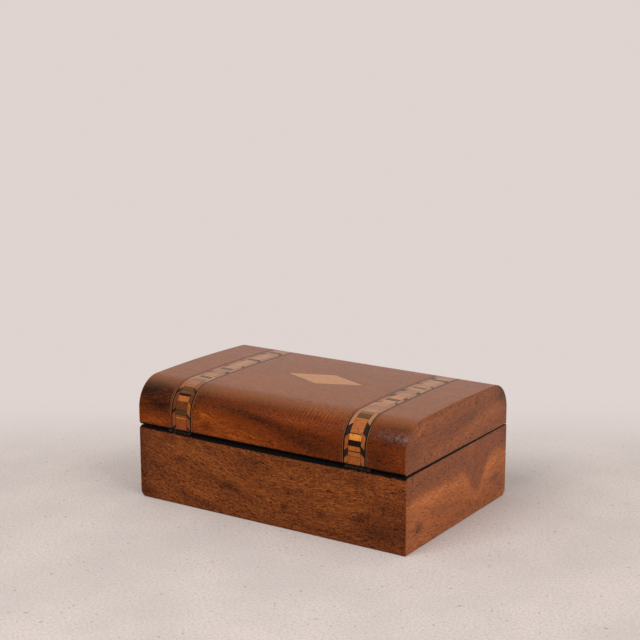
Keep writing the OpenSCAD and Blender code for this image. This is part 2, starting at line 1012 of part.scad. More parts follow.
// An upright prism through the lid's top, with the lozenge's outline grown by a margin.
module lozenge_prism(margin) {
    slope = lozenge_w / lozenge_l;
    half_y = lozenge_w / 2 + margin * sqrt(1 + slope * slope);
    half_x = half_y / slope;
    translate([lozenge_x, lozenge_y, lid_top - 10])
        linear_extrude(20)
            polygon([[-half_x, 0], [0, -half_y], [half_x, 0], [0, half_y]]);
}
module top_skin() {
    lid_skin(lozenge_x - lozenge_l, lozenge_x + lozenge_l);
}
module lozenge() {
    color("tan")
        intersection() {
            top_skin();
            lozenge_prism(0);
        }
}
module lozenge_line() {
    color("saddlebrown")
        intersection() {
            top_skin();
            difference() {
                lozenge_prism(lozenge_line_w);
                lozenge_prism(0);
            }
        }
}

base_front_board();
base_back_board();
base_left_board();
base_right_board();
base_bottom_board();
base_front_veneer();
base_back_veneer();
base_left_veneer();
base_right_veneer();
base_wall_lining();
base_floor_lining();
left_hinge_base_leaf();
right_hinge_base_leaf();
left_hinge_pin();
right_hinge_pin();
hinge_base_screws();
lock_case();
lock_selvedge();
lock_spring();
lock_key_pin();
lock_screws();
escutcheon();
lock_bolt();
lid_front_rail();
lid_back_rail();
lid_left_end();
lid_right_end();
lid_top_board();
lid_veneer_left();
lid_veneer_centre();
lid_veneer_right();
lid_left_end_veneer();
lid_right_end_veneer();
left_strap_light_middle();
left_strap_dark_bars();
left_strap_light_sides();
left_strap_dark_sides();
left_strap_light_lines();
left_strap_dark_lines();
right_strap_light_middle();
right_strap_dark_bars();
right_strap_light_sides();
right_strap_dark_sides();
right_strap_light_lines();
right_strap_dark_lines();
lozenge();
lozenge_line();
lid_wall_lining();
lid_top_lining();
left_hinge_lid_leaf();
right_hinge_lid_leaf();
hinge_lid_screws();
link_plate();
link_plate_screws();
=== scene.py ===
import math

import bpy
import numpy as np
from mathutils import Matrix, Vector


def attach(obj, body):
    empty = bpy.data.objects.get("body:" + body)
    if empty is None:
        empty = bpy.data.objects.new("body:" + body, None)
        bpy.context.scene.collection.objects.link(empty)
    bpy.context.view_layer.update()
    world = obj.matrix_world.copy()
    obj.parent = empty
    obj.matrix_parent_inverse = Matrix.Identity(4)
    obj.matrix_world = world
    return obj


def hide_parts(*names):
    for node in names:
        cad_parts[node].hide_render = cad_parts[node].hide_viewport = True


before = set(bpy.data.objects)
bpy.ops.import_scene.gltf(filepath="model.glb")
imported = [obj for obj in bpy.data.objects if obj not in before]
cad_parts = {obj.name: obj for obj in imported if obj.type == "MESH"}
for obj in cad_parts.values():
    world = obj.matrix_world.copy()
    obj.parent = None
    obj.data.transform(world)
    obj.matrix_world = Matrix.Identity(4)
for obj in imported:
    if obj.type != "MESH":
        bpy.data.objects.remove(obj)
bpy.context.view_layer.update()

# Lengths are millimetres until make_piece turns them into metres.
MM = 0.001

# ---- the box ----
HALF_L, HALF_W, RIM_Z = 140.0, 92.0, 67.5
VENEER, VENEER_LOW = 0.8, 0.2
CHAMFER = 2.3
CHAMFER_Y = HALF_W - CHAMFER                  # where the groove's chamfer meets the rim
CHAMFER_PLANE = RIM_Z + CHAMFER_Y             # z - y on the base's chamfer
BOTTOM_T = 6.0

# ---- the lid's section ----
LID_HALF_L, LID_HALF_W = 139.3, 92.8
LID_INNER_L, LID_INNER_W = 129.0, 82.5
LID_TOP = 112.0
SHOULDER_R, CROWN_R = 27.0, 1750.0
CROWN_Y = -24.0
GAP_BACK, GAP_FRONT = 1.5, 0.5
GAP_FALL = (GAP_FRONT - GAP_BACK) / (2 * HALF_W)

# ---- the straps and the lozenge ----
STRAP_X = (-91.0, 90.5)
STRAP_HALF, BLOCKS_HALF, MIDDLE_HALF = 12.5, 10.0, 6.1
DARK_LINE, LIGHT_LINE, THIN_LINE = 1.1, 0.9, 0.5
SLANT = 3.4
LOZENGE_X, LOZENGE_Y = 4.5, -3.0
LOZENGE_L, LOZENGE_W, LOZENGE_LINE = 81.0, 35.0, 0.7

FAR = 9.0            # what the rim value says away from every arris
CREASE = 40.0        # degrees at which an edge is sharp


# ==== the lid's section ====

def edge_z(y):
    """Height of the lid's lower edge: it falls evenly from the hinge side to the lock side."""
    return RIM_Z + GAP_BACK + GAP_FALL * (y + HALF_W)


CROWN_Z = LID_TOP - CROWN_R
SHOULDER_Y = LID_HALF_W - SHOULDER_R
EDGE_BACK = edge_z(-LID_HALF_W)


def shoulder_centre(side):
    """Height of a shoulder's centre, from the circle inside the crown that touches it."""
    across = side * SHOULDER_Y - CROWN_Y
    return CROWN_Z + math.sqrt((CROWN_R - SHOULDER_R) ** 2 - across ** 2)


SHOULDER_Z = {side: shoulder_centre(side) for side in (-1, 1)}
TOUCH = {side: math.atan2(SHOULDER_Z[side] - CROWN_Z, side * SHOULDER_Y - CROWN_Y)
         for side in (-1, 1)}
S_SHOULDER = SHOULDER_Z[-1] - EDGE_BACK
S_TOP = S_SHOULDER + SHOULDER_R * (math.pi - TOUCH[-1])
S_FRONT = S_TOP + CROWN_R * (TOUCH[-1] - TOUCH[1])
S_FALL = S_FRONT + SHOULDER_R * TOUCH[1]
S_END = S_FALL + SHOULDER_Z[1] - edge_z(LID_HALF_W)
# Each arc: its start, the normal's angle there, its centre (y, z) and its radius.
ARCS = ((S_SHOULDER, math.pi, -SHOULDER_Y, SHOULDER_Z[-1], SHOULDER_R),
        (S_TOP, TOUCH[-1], CROWN_Y, CROWN_Z, CROWN_R),
        (S_FRONT, TOUCH[1], SHOULDER_Y, SHOULDER_Z[1], SHOULDER_R))


def section_point(s, depth):
    """(y, z) on the lid's face at length s, moved inward along the normal by depth. The
    normal stands at half a turn on the hinge side, falls by length over radius along each
    arc, and stands at nothing on the lock side."""
    turn, y, z = np.full(s.shape, math.pi), np.full(s.shape, -LID_HALF_W), EDGE_BACK + s
    for start, first, centre_y, centre_z, radius in ARCS:
        turn = np.where(s > start, first - (s - start) / radius, turn)
        y = np.where(s > start, centre_y + radius * np.cos(turn), y)
        z = np.where(s > start, centre_z + radius * np.sin(turn), z)
    turn = np.where(s > S_FALL, 0.0, turn)
    y = np.where(s > S_FALL, LID_HALF_W, y)
    z = np.where(s > S_FALL, SHOULDER_Z[1] - (s - S_FALL), z)
    return y - depth * np.cos(turn), z - depth * np.sin(turn)


def s_of_y(y):
    """Length along the section of the point of the crown that stands at y."""
    return S_TOP + CROWN_R * (TOUCH[-1] - np.arccos((y - CROWN_Y) / CROWN_R))


# ==== grids and slabs ====

ROUND = 1 - np.cos(np.radians([0, 22.5, 45, 67.5, 90]))


def triple(a, b, c):
    """Three arrays or numbers as one array of vectors."""
    return np.stack(np.broadcast_arrays(a, b, c), -1)


def least(*parts):
    """The smallest of several arrays or numbers, point by point."""
    return np.min(np.broadcast_arrays(*parts), axis=0)


def lines(low, high, step, round_low=0.0, round_high=0.0, extra=()):
    """Positions from low to high about a step apart, with the extra ones among them, and
    closer together inside a rounded edge of the given radius at either end."""
    head = low + ROUND * round_low if round_low else np.array([low])
    tail = high - ROUND[::-1] * round_high if round_high else np.array([high])
    stops = np.array([head[-1], *sorted(extra), tail[0]])
    parts = [head[:-1]]
    for a, b in zip(stops[:-1], stops[1:]):
        parts.append(np.linspace(a, b, max(1, int(round((b - a) / step))) + 1)[:-1])
    return np.concatenate(parts + [tail])


def rounding(u, v, low, high, radii):
    """Depth of the face below its plane near rounded edges, which lie at the first and last
    u and at v = low and v = high: with a and b the parts of the radius still to go in each
    direction, r (1 - sqrt(1 - a^2 - b^2))."""
    def short(distance, radius):
        return np.clip(1 - distance / radius, 0, 1) if radius else 0 * distance
    a = np.maximum(short(u - u[0, 0], radii[0]), short(u[-1, 0] - u, radii[1]))
    b = np.maximum(short(v - low, radii[2]), short(high - v, radii[3]))
    return max(radii) * (1 - np.sqrt(np.clip(1 - a ** 2 - b ** 2, 0, 1)))


def slab(outer, inner, fields):
    """A closed slab between two grids of points: both faces, and a wall round the border.
    Points of either face carry the same values. The quads are turned over if the volume
    that they close, the sum of (b - a) x (c - a) . a over triangles, comes out negative."""
    rows, cols = outer.shape[:2]
    index = np.arange(rows * cols).reshape(rows, cols)
    face = np.stack([index[:-1, :-1], index[:-1, 1:], index[1:, 1:], index[1:, :-1]], -1)
    face = face.reshape(-1, 4)
    ring = np.concatenate([index[0], index[1:, -1], index[-1, -2::-1], index[-2:0:-1, 0]])
    after, under = np.roll(ring, -1), rows * cols
    wall = np.stack([after, ring, ring + under, after + under], -1)
    points = np.concatenate([outer.reshape(-1, 3), inner.reshape(-1, 3)])
    quads = np.concatenate([face, face[:, ::-1] + under, wall])
    a, b, c, d = (points[quads[:, k]] for k in range(4))
    volume = (np.cross(b - a, c - a) * a).sum() + (np.cross(c - a, d - a) * a).sum()
    values = {key: np.concatenate([data.reshape((-1,) + data.shape[2:])] * 2)
              for key, data in fields.items()}
    return points, quads if volume > 0 else quads[:, ::-1], values


def joined(slabs):
    """Several slabs as one set of points, quads and values."""
    starts = np.cumsum([0] + [len(points) for points, _, _ in slabs[:-1]])
    return (np.concatenate([points for points, _, _ in slabs]),
            np.concatenate([quads + start for (_, quads, _), start in zip(slabs, starts)]),
            {key: np.concatenate([values[key] for _, _, values in slabs])
             for key in slabs[0][2]})


def welded(points, quads, values):
    """Merges points that coincide and drops the pairs of walls that then lie back to back."""
    keys = np.round(points * 1e4).astype(np.int64)
    _, first, back = np.unique(keys, axis=0, return_index=True, return_inverse=True)
    quads = back.reshape(-1)[quads]
    _, same, count = np.unique(np.sort(quads, axis=1), axis=0,
                               return_inverse=True, return_counts=True)
    keep = count[same.reshape(-1)] == 1
    return points[first], quads[keep], {key: data[first] for key, data in values.items()}


def waves(u, v, seed, size):
    """Gentle unevenness between 0 and 1: six sine waves of different directions, summed."""
    rng = np.random.default_rng(seed)
    total = 0 * u
    for _ in range(6):
        turn, length = rng.uniform(0, math.tau), size * rng.uniform(0.6, 1.8)
        across = u * math.cos(turn) + v * math.sin(turn)
        total = total + np.sin(across * math.tau / length + rng.uniform(0, math.tau))
    return 0.5 + total / 12


def spots(u, v, rows):
    """Sum of soft ellipses: each row gives centre, half length, half width, turn in degrees
    and amount, and fades as exp(-(a^2 + b^2)) with a and b in half lengths."""
    total = 0 * u
    for cu, cv, long, wide, turn, amount in rows:
        c, n = math.cos(math.radians(turn)), math.sin(math.radians(turn))
        a = ((u - cu) * c + (v - cv) * n) / long
        b = ((v - cv) * c - (u - cu) * n) / wide
        total = total + amount * np.exp(-(a ** 2 + b ** 2))
    return total


def bell(u, middle, width):
    """exp(-x^2), where x counts widths from the middle."""
    return np.exp(-((u - middle) / width) ** 2)


def step_down(u, middle, width):
    """Falls from 1 to 0 about the middle: 1 / (1 + exp(x)), where x counts widths from it."""
    return 1 / (1 + np.exp((u - middle) / width))


def make_piece(name, node, body, material, shape):
    """A mesh object in metres that rides on a body, stands for a CAD node and carries the
    values of its points."""
    points, quads, values = shape
    mesh = bpy.data.meshes.new(name)
    mesh.from_pydata(points * MM, [], quads)
    for key, data in values.items():
        kind, field = ("FLOAT", "value") if data.ndim == 1 else ("FLOAT_VECTOR", "vector")
        mesh.attributes.new(key, kind, "POINT").data.foreach_set(field, data.ravel())
    mesh.shade_smooth()
    mesh.set_sharp_from_angle(angle=math.radians(CREASE))
    mesh.materials.append(material)
    piece = bpy.data.objects.new(name, mesh)
    bpy.context.scene.collection.objects.link(piece)
    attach(piece, body)
    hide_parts(node)


# ==== node helpers ====

class Value:
    """A node's output in a formula: +, - and * put one more node behind it."""

    def __init__(self, net, socket):
        self.net, self.socket, self.kind = net, socket, socket.type

    def __add__(self, other):
        return self.net.math("ADD", self, other)

    def __sub__(self, other):
        return self.net.math("SUBTRACT", self, other)

    def __rsub__(self, other):
        return self.net.math("SUBTRACT", other, self)

    def __mul__(self, other):
        return self.net.math("MULTIPLY", self, other)


def named(values):
    """Values by the names of their sockets."""
    return {value.socket.name: value for value in values}


class Net:
    """Puts nodes in one tree. A number given for a socket is set; a Value is linked. Three
    numbers are a vector, or a colour without its alpha."""

    def __init__(self, tree):
        self.tree = tree

    def feed(self, socket, value):
        """Links a Value to an input, or sets it."""
        if isinstance(value, Value):
            self.tree.links.new(value.socket, socket)
        elif socket.type == "RGBA":
            socket.default_value = (*value, 1.0)
        else:
            socket.default_value = value

    def put(self, kind, ins=None, **props):
        """A node with its properties and inputs set; gives its outputs as Values."""
        item = self.tree.nodes.new("ShaderNode" + kind)
        for key, value in props.items():
            setattr(item, key, value)
        for key, value in (ins or {}).items():
            self.feed(item.inputs[key], value)
        return [Value(self, socket) for socket in item.outputs]

    def math(self, operation, *values):
        """A Math node, or a Vector Math node if any of the values is a vector."""
        vector = any(isinstance(v, tuple) or getattr(v, "kind", "") == "VECTOR" for v in values)
        kind = "VectorMath" if vector else "Math"
        return self.put(kind, dict(enumerate(values)), operation=operation)[0]

    def noise(self, vector, scale, detail=2.0, rough=0.5, distort=0.0):
        """Fractal noise. A stretched one has a scale for each axis; the third may be left
        out where it is 1."""
        if isinstance(scale, tuple):
            vector, scale = vector * (*scale, 1.0)[:3], 1.0
        ins = {"Vector": vector, "Scale": scale, "Detail": detail, "Roughness": rough,
               "Distortion": distort}
        return self.put("TexNoise", ins)[0]

    def cells(self, vector, scale):
        """Distance to the nearest of scattered points."""
        return self.put("TexVoronoi", {"Vector": vector, "Scale": scale})[0]

    def span(self, value, low, high, to_low=0.0, to_high=1.0, kind="SMOOTHSTEP"):
        """The value stretched from low..high to the new range, held at both ends. It falls
        if the higher number comes first."""
        ins = dict(enumerate((value, low, high, to_low, to_high)))
        return self.put("MapRange", ins, interpolation_type=kind)[0]

    def mix(self, factor, a, b):
        """From colour a to colour b by the factor."""
        return self.put("Mix", {0: factor, 6: a, 7: b}, data_type="RGBA")[2]

    def number(self, name):
        """A number that the piece's points carry."""
        return self.put("Attribute", attribute_name=name)[2]

    def vector(self, name):
        """A vector that the piece's points carry."""
        return self.put("Attribute", attribute_name=name)[1]

    def split(self, vector):
        return self.put("SeparateXYZ", {0: vector})

    def join(self, x, y, z):
        return self.put("CombineXYZ", {0: x, 1: y, 2: z})[0]

    def place(self):
        """Object coordinates in metres."""
        return self.put("TexCoord")[3]

    def place_mm(self):
        """Object coordinates in millimetres."""
        return self.place() * (1 / MM, 1 / MM, 1 / MM)

    def toward(self, vector, direction):
        """How far the vector reaches in a direction."""
        return self.put("VectorMath", {0: vector, 1: direction}, operation="DOT_PRODUCT")[1]

    def group(self, tree, **ins):
        """A node group in use; gives its outputs by name."""
        outs = self.put("Group", node_tree=tree)
        item = outs[0].socket.node
        for key, value in ins.items():
            self.feed(item.inputs[key], value)
        return named(outs)

    def bump(self, height, distance, strength=1.0):
        ins = {"Height": height, "Distance": distance, "Strength": strength}
        return self.put("Bump", ins)[0]


def start_group(name, **kinds):
    """A Net in a new node group and the group's inputs, whose names are given by kind."""
    tree = bpy.data.node_groups.new(name, "ShaderNodeTree")
    keys = [(key, kind) for kind, names in kinds.items() for key in names.split()]
    for key, kind in keys:
        tree.interface.new_socket(key, in_out="INPUT", socket_type="NodeSocket" + kind)
    net = Net(tree)
    source = tree.nodes.new("NodeGroupInput").outputs
    return net, [Value(net, source[key]) for key, _ in keys]


def end_group(net, **outs):
    """Gives the group an output for each value and returns its tree."""
    for key, value in outs.items():
        kind = "Color" if value.kind == "RGBA" else "Float"
        net.tree.interface.new_socket(key, in_out="OUTPUT", socket_type="NodeSocket" + kind)
    target = net.tree.nodes.new("NodeGroupOutput").inputs
    for key, value in outs.items():
        net.feed(target[key], value)
    return net.tree


def start_material(name, **fixed):
    """The Net of a new material, with its Principled shader's inputs. The fixed values go
    straight on the inputs."""
    mat = bpy.data.materials.new(name)
    mat.use_nodes = True
    net = Net(mat.node_tree)
    net.mat, net.shader = mat, mat.node_tree.nodes["Principled BSDF"].inputs
    for key, value in fixed.items():
        net.shader[key.replace("_", " ")].default_value = value
    return net


def end_material(net, colour, rough, height, lift):
    """Feeds the shader its colour, roughness and relief, whose full height is lift metres."""
    net.feed(net.shader["Base Color"], colour)
    net.feed(net.shader["Roughness"], rough)
    net.feed(net.shader["Normal"], net.bump(height, lift))
    return net.mat


# ==== shared effects ====

def make_walnut_group():
    """Grain of a walnut leaf. Leaf is millimetres along the grain, across it, and a seed."""
    n, (leaf, tone, contrast, pores, ripple, deep, body, bright) = start_group(
        "Walnut grain", Vector="Leaf", Float="Tone Contrast Pores Ripple",
        Color="Deep Body Bright")
    # The leaf is bent a little, so that the grain wanders.
    leaf = leaf + n.join(0.0, n.noise(leaf, (0.016, 0.03)) * 16.0 - 8.0, 0.0)
    bands = n.noise(leaf, (0.012, 0.15), 4.0, 0.6, 0.4)
    streaks = n.noise(leaf, (0.10, 0.85), 5.0, 0.7, 0.5)
    fibres = n.noise(leaf, (0.30, 4.0), 3.0, 0.7)
    clouds = n.noise(leaf, (0.05, 0.09), 3.0, 0.6, 0.8)
    burr = n.noise(leaf, (0.42, 0.8), 4.0, 0.7, 1.0)
    speckle = n.noise(leaf, (0.8, 1.5), 2.0, 0.6)
    gleam = n.noise(leaf + (1.0, 5.0, 2.0), (0.16, 0.9), 2.0, 0.6, 0.6)
    total = n.span(gleam, 0.56, 0.64) * 0.2
    for part, amount in ((bands, 0.35), (streaks, 1.5), (fibres, 1.2), (burr, 1.1),
                         (speckle, 1.2)):
        total = total + (part - 0.5) * amount
    # Short dark dashes, the vessels cut open along the grain.
    dash = n.span(n.noise(leaf, (0.24, 0.95), 1.0, 0.5, 0.8), 0.605, 0.65)
    fine = n.span(n.noise(leaf + (7.0, 3.0, 5.0), (0.5, 2.6), 1.0), 0.61, 0.68)
    pores = n.math("MAXIMUM", dash, fine * 0.7) * pores
    # Ripple: bands of light across the grain, a few millimetres apart.
    along, across, _ = n.split(leaf)
    shift = clouds * 7.0 + (along - across * 0.15)
    ripple = n.math("SINE", shift * 1.8) * ripple * n.span(clouds, 0.3, 0.5)
    # Dark and light places of the figure break up into streaks along the grain.
    broken = n.math("MAXIMUM", n.math("MINIMUM", streaks * 5.0 - 1.5, 1.7), 0.25)
    tone = (tone - 0.5) * broken + 0.5
    tone = tone + total * contrast + ripple * 0.22 - pores * 0.42
    colour = n.mix(n.span(tone, 0.0, 0.5, kind="LINEAR"), deep, body)
    colour = n.mix(n.span(tone, 0.5, 1.0, kind="LINEAR"), colour, bright)
    # Pale flecks in the grain: painted glints, standing in for small highlights caught in the
    # pores.
    painted_glint = n.noise(leaf + (2.0, 9.0, 1.0), (0.5, 2.2), 2.0, 0.6)
    painted_glint = n.span(painted_glint, 0.56, 0.74) * n.span(tone, 0.25, 0.7)
    return end_group(
        n, Color=n.mix(painted_glint * (contrast * 0.32), colour, (0.42, 0.22, 0.13)),
        Roughness=pores * 0.2 + clouds * 0.14 + 0.27,
        Height=fibres * 0.35 - pores * 0.8 + ripple * 0.25)


def make_wear_group():
    """Handling: pale rubbed arrises, small dents and hair scratches. Rim is millimetres from
    the nearest arris; Place is in millimetres."""
    n, (place, rim, colour, rubbed) = start_group(
        "Handling wear", Vector="Place", Float="Rim", Color="Color Rubbed")
    rub = n.span(rim, n.noise(place, 0.12, 3.0, 0.6) * 1.6, 0.1)
    dents = n.span(n.cells(place + (3.1, 1.7, 0.0), 0.055), 0.09, 0.02)
    chosen = n.span(n.noise(place, 0.09, 0.0), 0.5, 0.56)
    specks = n.span(n.cells(place, 0.11), 0.07, 0.03) * chosen
    scratch = n.math("ABSOLUTE", n.noise(place, (0.9, 0.05, 0.6), 1.0) - 0.5)
    chosen = n.span(n.noise(place, 0.03, 1.0), 0.52, 0.62)
    scratch = n.span(scratch, 0.006, 0.0) * chosen
    colour = n.mix(rub * 0.25, colour, rubbed)
    colour = n.mix(specks * 0.75, colour, (0.02, 0.008, 0.004))
    return end_group(n, Color=n.mix(dents * 0.35, colour, (0.03, 0.012, 0.006)),
                     Height=scratch * -0.25 - dents - specks * 0.5, Dull=scratch * 0.15)


def make_crack_group():
    """A dark hair crack along the second axis of Place: it starts at one height, ends at
    another and wavers a little on its way."""
    n, (place, at, low, high, width) = start_group(
        "Hair crack", Vector="Place", Float="At Low High Width")
    u, v, _ = n.split(place)
    sway = n.noise(n.join(v, at, 0.0), 0.3, 1.0) * 1.6 - 0.8
    line = n.span(n.math("ABSOLUTE", u + sway - at), width, 0.0)
    return end_group(n, Mask=line * (n.span(v - low, 0.0, 2.0) * n.span(high - v, 0.0, 0.6)))


def make_tarnish_group():
    """Aged metal: patches of brown tarnish, grime in the low places and fine brushing."""
    n, (place, clean, tarnish) = start_group(
        "Aged metal", Vector="Place", Color="Clean Tarnish")
    patch = n.span(n.noise(place, 0.35, 4.0, 0.65, 0.5), 0.35, 0.7)
    pits = n.span(n.cells(place, 0.9), 0.2, 0.05)
    brush = n.noise(place, (0.4, 6.0, 6.0), 2.0, 0.6)
    return end_group(
        n, Color=n.mix(pits * 0.5, n.mix(patch, clean, tarnish), (0.05, 0.035, 0.02)),
        Roughness=patch * 0.25 + brush * 0.12 + 0.22, Height=brush * 0.3 - pits * 0.5)


WALNUT = make_walnut_group()
WEAR = make_wear_group()
CRACK = make_crack_group()
METAL = make_tarnish_group()

# The second colour is the groove's black paint, and also painted shade along the parting line
# on the ends.
SCORCH, BLACKING_AND_SHADE = (0.012, 0.007, 0.005), (0.003, 0.0028, 0.0026)
RIM_STAIN_AND_SHADE, INSIDE_STAIN = (0.04, 0.016, 0.009), (0.035, 0.015, 0.010)


# ==== materials ====

FLAT_FROM, FLAT_AT = LID_TOP - 10.5, LID_TOP - 0.5      # heights as the top turns flat


def upward(n, low, high):
    """Rises from low to high between the lid's shoulders and its flat top."""
    return n.span(n.split(n.place_mm())[2], FLAT_FROM, FLAT_AT, low, high)


def veneer_material(name, deep, body, bright, contrast, pores, specular, cracks=(), coat=0.0):
    """French-polished walnut. Reads leaf, place, tone, rim, ripple and blacking from the
    piece, and polish if it has a coat."""
    n = start_material(name, Specular_IOR_Level=specular, Coat_Roughness=0.25)
    place = n.vector("place")
    if coat:
        # The flat top has the clearest polish. Toward it the grain's contrast drops and the
        # colour turns paler, a painted sheen.
        streaky = n.span(n.noise(place, (0.4, 0.2), 2.0, 0.6), 0.30, 0.75)
        gloss = n.math("MAXIMUM", upward(n, 0.0, coat), streaky * n.number("polish"))
        n.feed(n.shader["Coat Weight"], gloss)
        contrast = upward(n, contrast, 0.85 * contrast)
    grain = n.group(WALNUT, Leaf=n.vector("leaf"), Tone=n.number("tone"), Deep=deep,
                    Body=body, Bright=bright, Contrast=contrast, Pores=pores,
                    Ripple=n.number("ripple"))
    colour = grain["Color"]
    if coat:
        # Painted sheen: the colour turns paler toward the flat top.
        colour = n.mix(upward(n, 0.0, 0.35), colour, (0.25, 0.117, 0.047))
    used = n.group(WEAR, Place=place, Rim=n.number("rim"), Color=colour, Rubbed=bright)
    colour, height = used["Color"], used["Height"] * 1.6 + grain["Height"]
    for at, low, high, width in cracks:
        mask = n.group(CRACK, Place=place, At=at, Low=low, High=high, Width=width)["Mask"]
        colour, height = n.mix(mask * 0.8, colour, SCORCH), height - mask * 3.0
    # Blacking is the signed distance into the black part, with a worn border: black paint in
    # the groove, and on the ends a band of painted shade along the parting line.
    ragged = n.noise(place, 0.5) * 0.8 - 0.4
    black = n.span(n.number("blacking") + ragged, -0.15, 0.25)
    return end_material(n, n.mix(black, colour, BLACKING_AND_SHADE),
                        grain["Roughness"] + used["Dull"], height, 0.00006)


def carcass_material(name, order, seed, woods, blacked=0.0, specular=0.35):
    """Solid wood of the carcass. order gives the axes along, across and through the grain;
    blacked gives a side of the groove to ebonise: 1 for the base, -1 for the lid."""
    n = start_material(name, Specular_IOR_Level=specular)
    place = n.place_mm()
    x, y, z = axes = n.split(place)
    leaf = n.join(axes[order[0]], axes[order[1]], axes[order[2]] * 0.05 + seed)
    deep, body, bright = woods
    grain = n.group(WALNUT, Leaf=leaf, Tone=0.5, Deep=deep, Body=body, Bright=bright,
                    Contrast=0.8, Pores=0.7)
    grime = n.span(n.noise(place, 0.05, 4.0, 0.6), 0.45, 0.75)
    colour = n.mix(grime * 0.4, grain["Color"], deep)
    # The rims that meet when the box is shut are stained nearly black, partly a stain and
    # partly painted shade that keeps the gap between lid and base dark: the stain comes in over
    # the first two heights, counted from the base's rim, and goes over the last two.
    for height, heights in ((z, (-0.4, -0.1, 0.2, 0.3)),
                            (z - y * GAP_FALL, (0.55, 0.7, 1.1, 1.4))):
        a, b, c, d = (RIM_Z + step for step in heights)
        colour = n.mix(n.span(height, a, b) * n.span(height, d, c), colour, RIM_STAIN_AND_SHADE)
    # Inside the lid, what the lining leaves bare is stained brown.
    within = (n.span(n.math("ABSOLUTE", x), LID_INNER_L + 0.2, LID_INNER_L)
              * n.span(n.math("ABSOLUTE", y), LID_INNER_W + 0.2, LID_INNER_W)
              * n.span(z, RIM_Z + 2.0, RIM_Z + 3.0))
    colour = n.mix(within * 0.85, colour, INSIDE_STAIN)
    if blacked:
        # On the groove's face z - y (base) or -z - y (lid) reaches the chamfer's plane.
        level = CHAMFER_PLANE if blacked > 0 else LID_HALF_W - EDGE_BACK - CHAMFER
        near = n.span(z * blacked - y - level, -0.5, -0.2)
        outer = n.span(y, 0.3 - CHAMFER_Y, -0.1 - CHAMFER_Y)
        colour = n.mix(near * outer, colour, BLACKING_AND_SHADE)
    return end_material(n, colour, grain["Roughness"] + 0.22, grain["Height"], 0.0001)


def inlay_material(name, streak, contrast, gloss, painted_sheen, specular=0.12):
    """Small blocks, each with its own tint, its grain along leaf, and grime in its joints."""
    n = start_material(name, Specular_IOR_Level=specular, Coat_Roughness=0.22)
    leaf = n.vector("leaf")
    grain = n.noise(leaf, (0.12, 1.6), 5.0, 0.65, 0.8)
    fibre = n.noise(leaf, (0.5, 7.0), 2.0, 0.6)
    knots = n.span(n.noise(leaf, (0.4, 0.9), 4.0, 0.65, 1.0), 0.52, 0.68)
    shade = (grain - 0.5) * (2.4 * contrast) + (fibre - 0.5) * (0.9 * contrast) + 1.0
    colour = n.mix(knots * streak, n.vector("tint") * shade, (0.05, 0.018, 0.008))
    colour = n.mix(n.span(n.number("rim"), 0.02, 0.26, 0.92, 0.0), colour, SCORCH)
    # Painted sheen: the blocks turn paler toward the flat top.
    if painted_sheen:
        colour = n.mix(upward(n, 0.0, painted_sheen), colour, (0.31, 0.135, 0.055))
    n.feed(n.shader["Coat Weight"], upward(n, 0.0, 0.3))
    return end_material(n, colour, grain * 0.15 + gloss, fibre * 0.4 + grain * 0.3, 0.00005)


def metal_material(name, clean, tarnish, darkened_from=None):
    """Aged metal. Out past the y given, where the barrel sits in the groove, the metal is
    darkened nearly to black, and only a few rubbed spots show through.
    """
    n = start_material(name, Metallic=1.0)
    place = n.place_mm()
    aged = n.group(METAL, Place=place, Clean=clean, Tarnish=tarnish)
    colour, rough = aged["Color"], aged["Roughness"]
    if darkened_from is not None:
        outside = n.span(n.split(place)[1], darkened_from, darkened_from - 1.5)
        rubbed = n.span(n.noise(place, 0.45, 3.0, 0.6), 0.35, 0.65)
        barrel_darkening = outside * (rubbed * -0.10 + 0.98)
        colour, rough = n.mix(barrel_darkening, colour, (0.012, 0.010, 0.009)), rough + barrel_darkening * 0.35
    return end_material(n, colour, rough, aged["Height"], 0.00005)


def lining_material(name):
    """Paper pasted on card: a small embossed diaper, where the sines of x + y + z and of
    x - y - z cross, with foxing and scuffed patches."""
    n = start_material(name, Specular_IOR_Level=0.3)
    place = n.place_mm()
    x, y, z = n.split(place)
    a, b = (n.math("ABSOLUTE", n.math("SINE", run * 1.15)) for run in (x + y + z, x - y - z))
    line = n.span(a * b, 0.02, 0.22)
    fibre = n.noise(place, 3.0, 4.0, 0.7)
    stain = n.span(n.noise(place, 0.035, 4.0, 0.6, 0.6), 0.5, 0.72)
    scuff = n.span(n.noise(place, 0.3, 5.0, 0.75), 0.58, 0.74)
    colour = n.mix(line, (0.075, 0.035, 0.085), (0.13, 0.06, 0.14))
    colour = n.mix(fibre * 0.35, colour, (0.05, 0.02, 0.055))
    colour = n.mix(stain * 0.5, colour, (0.16, 0.10, 0.07))
    colour = n.mix(scuff * 0.45, colour, (0.30, 0.20, 0.26))
    return end_material(n, colour, n.span(line, 0.0, 1.0, 0.75, 0.6),
                        line * 0.8 + fibre * 0.4, 0.00012)


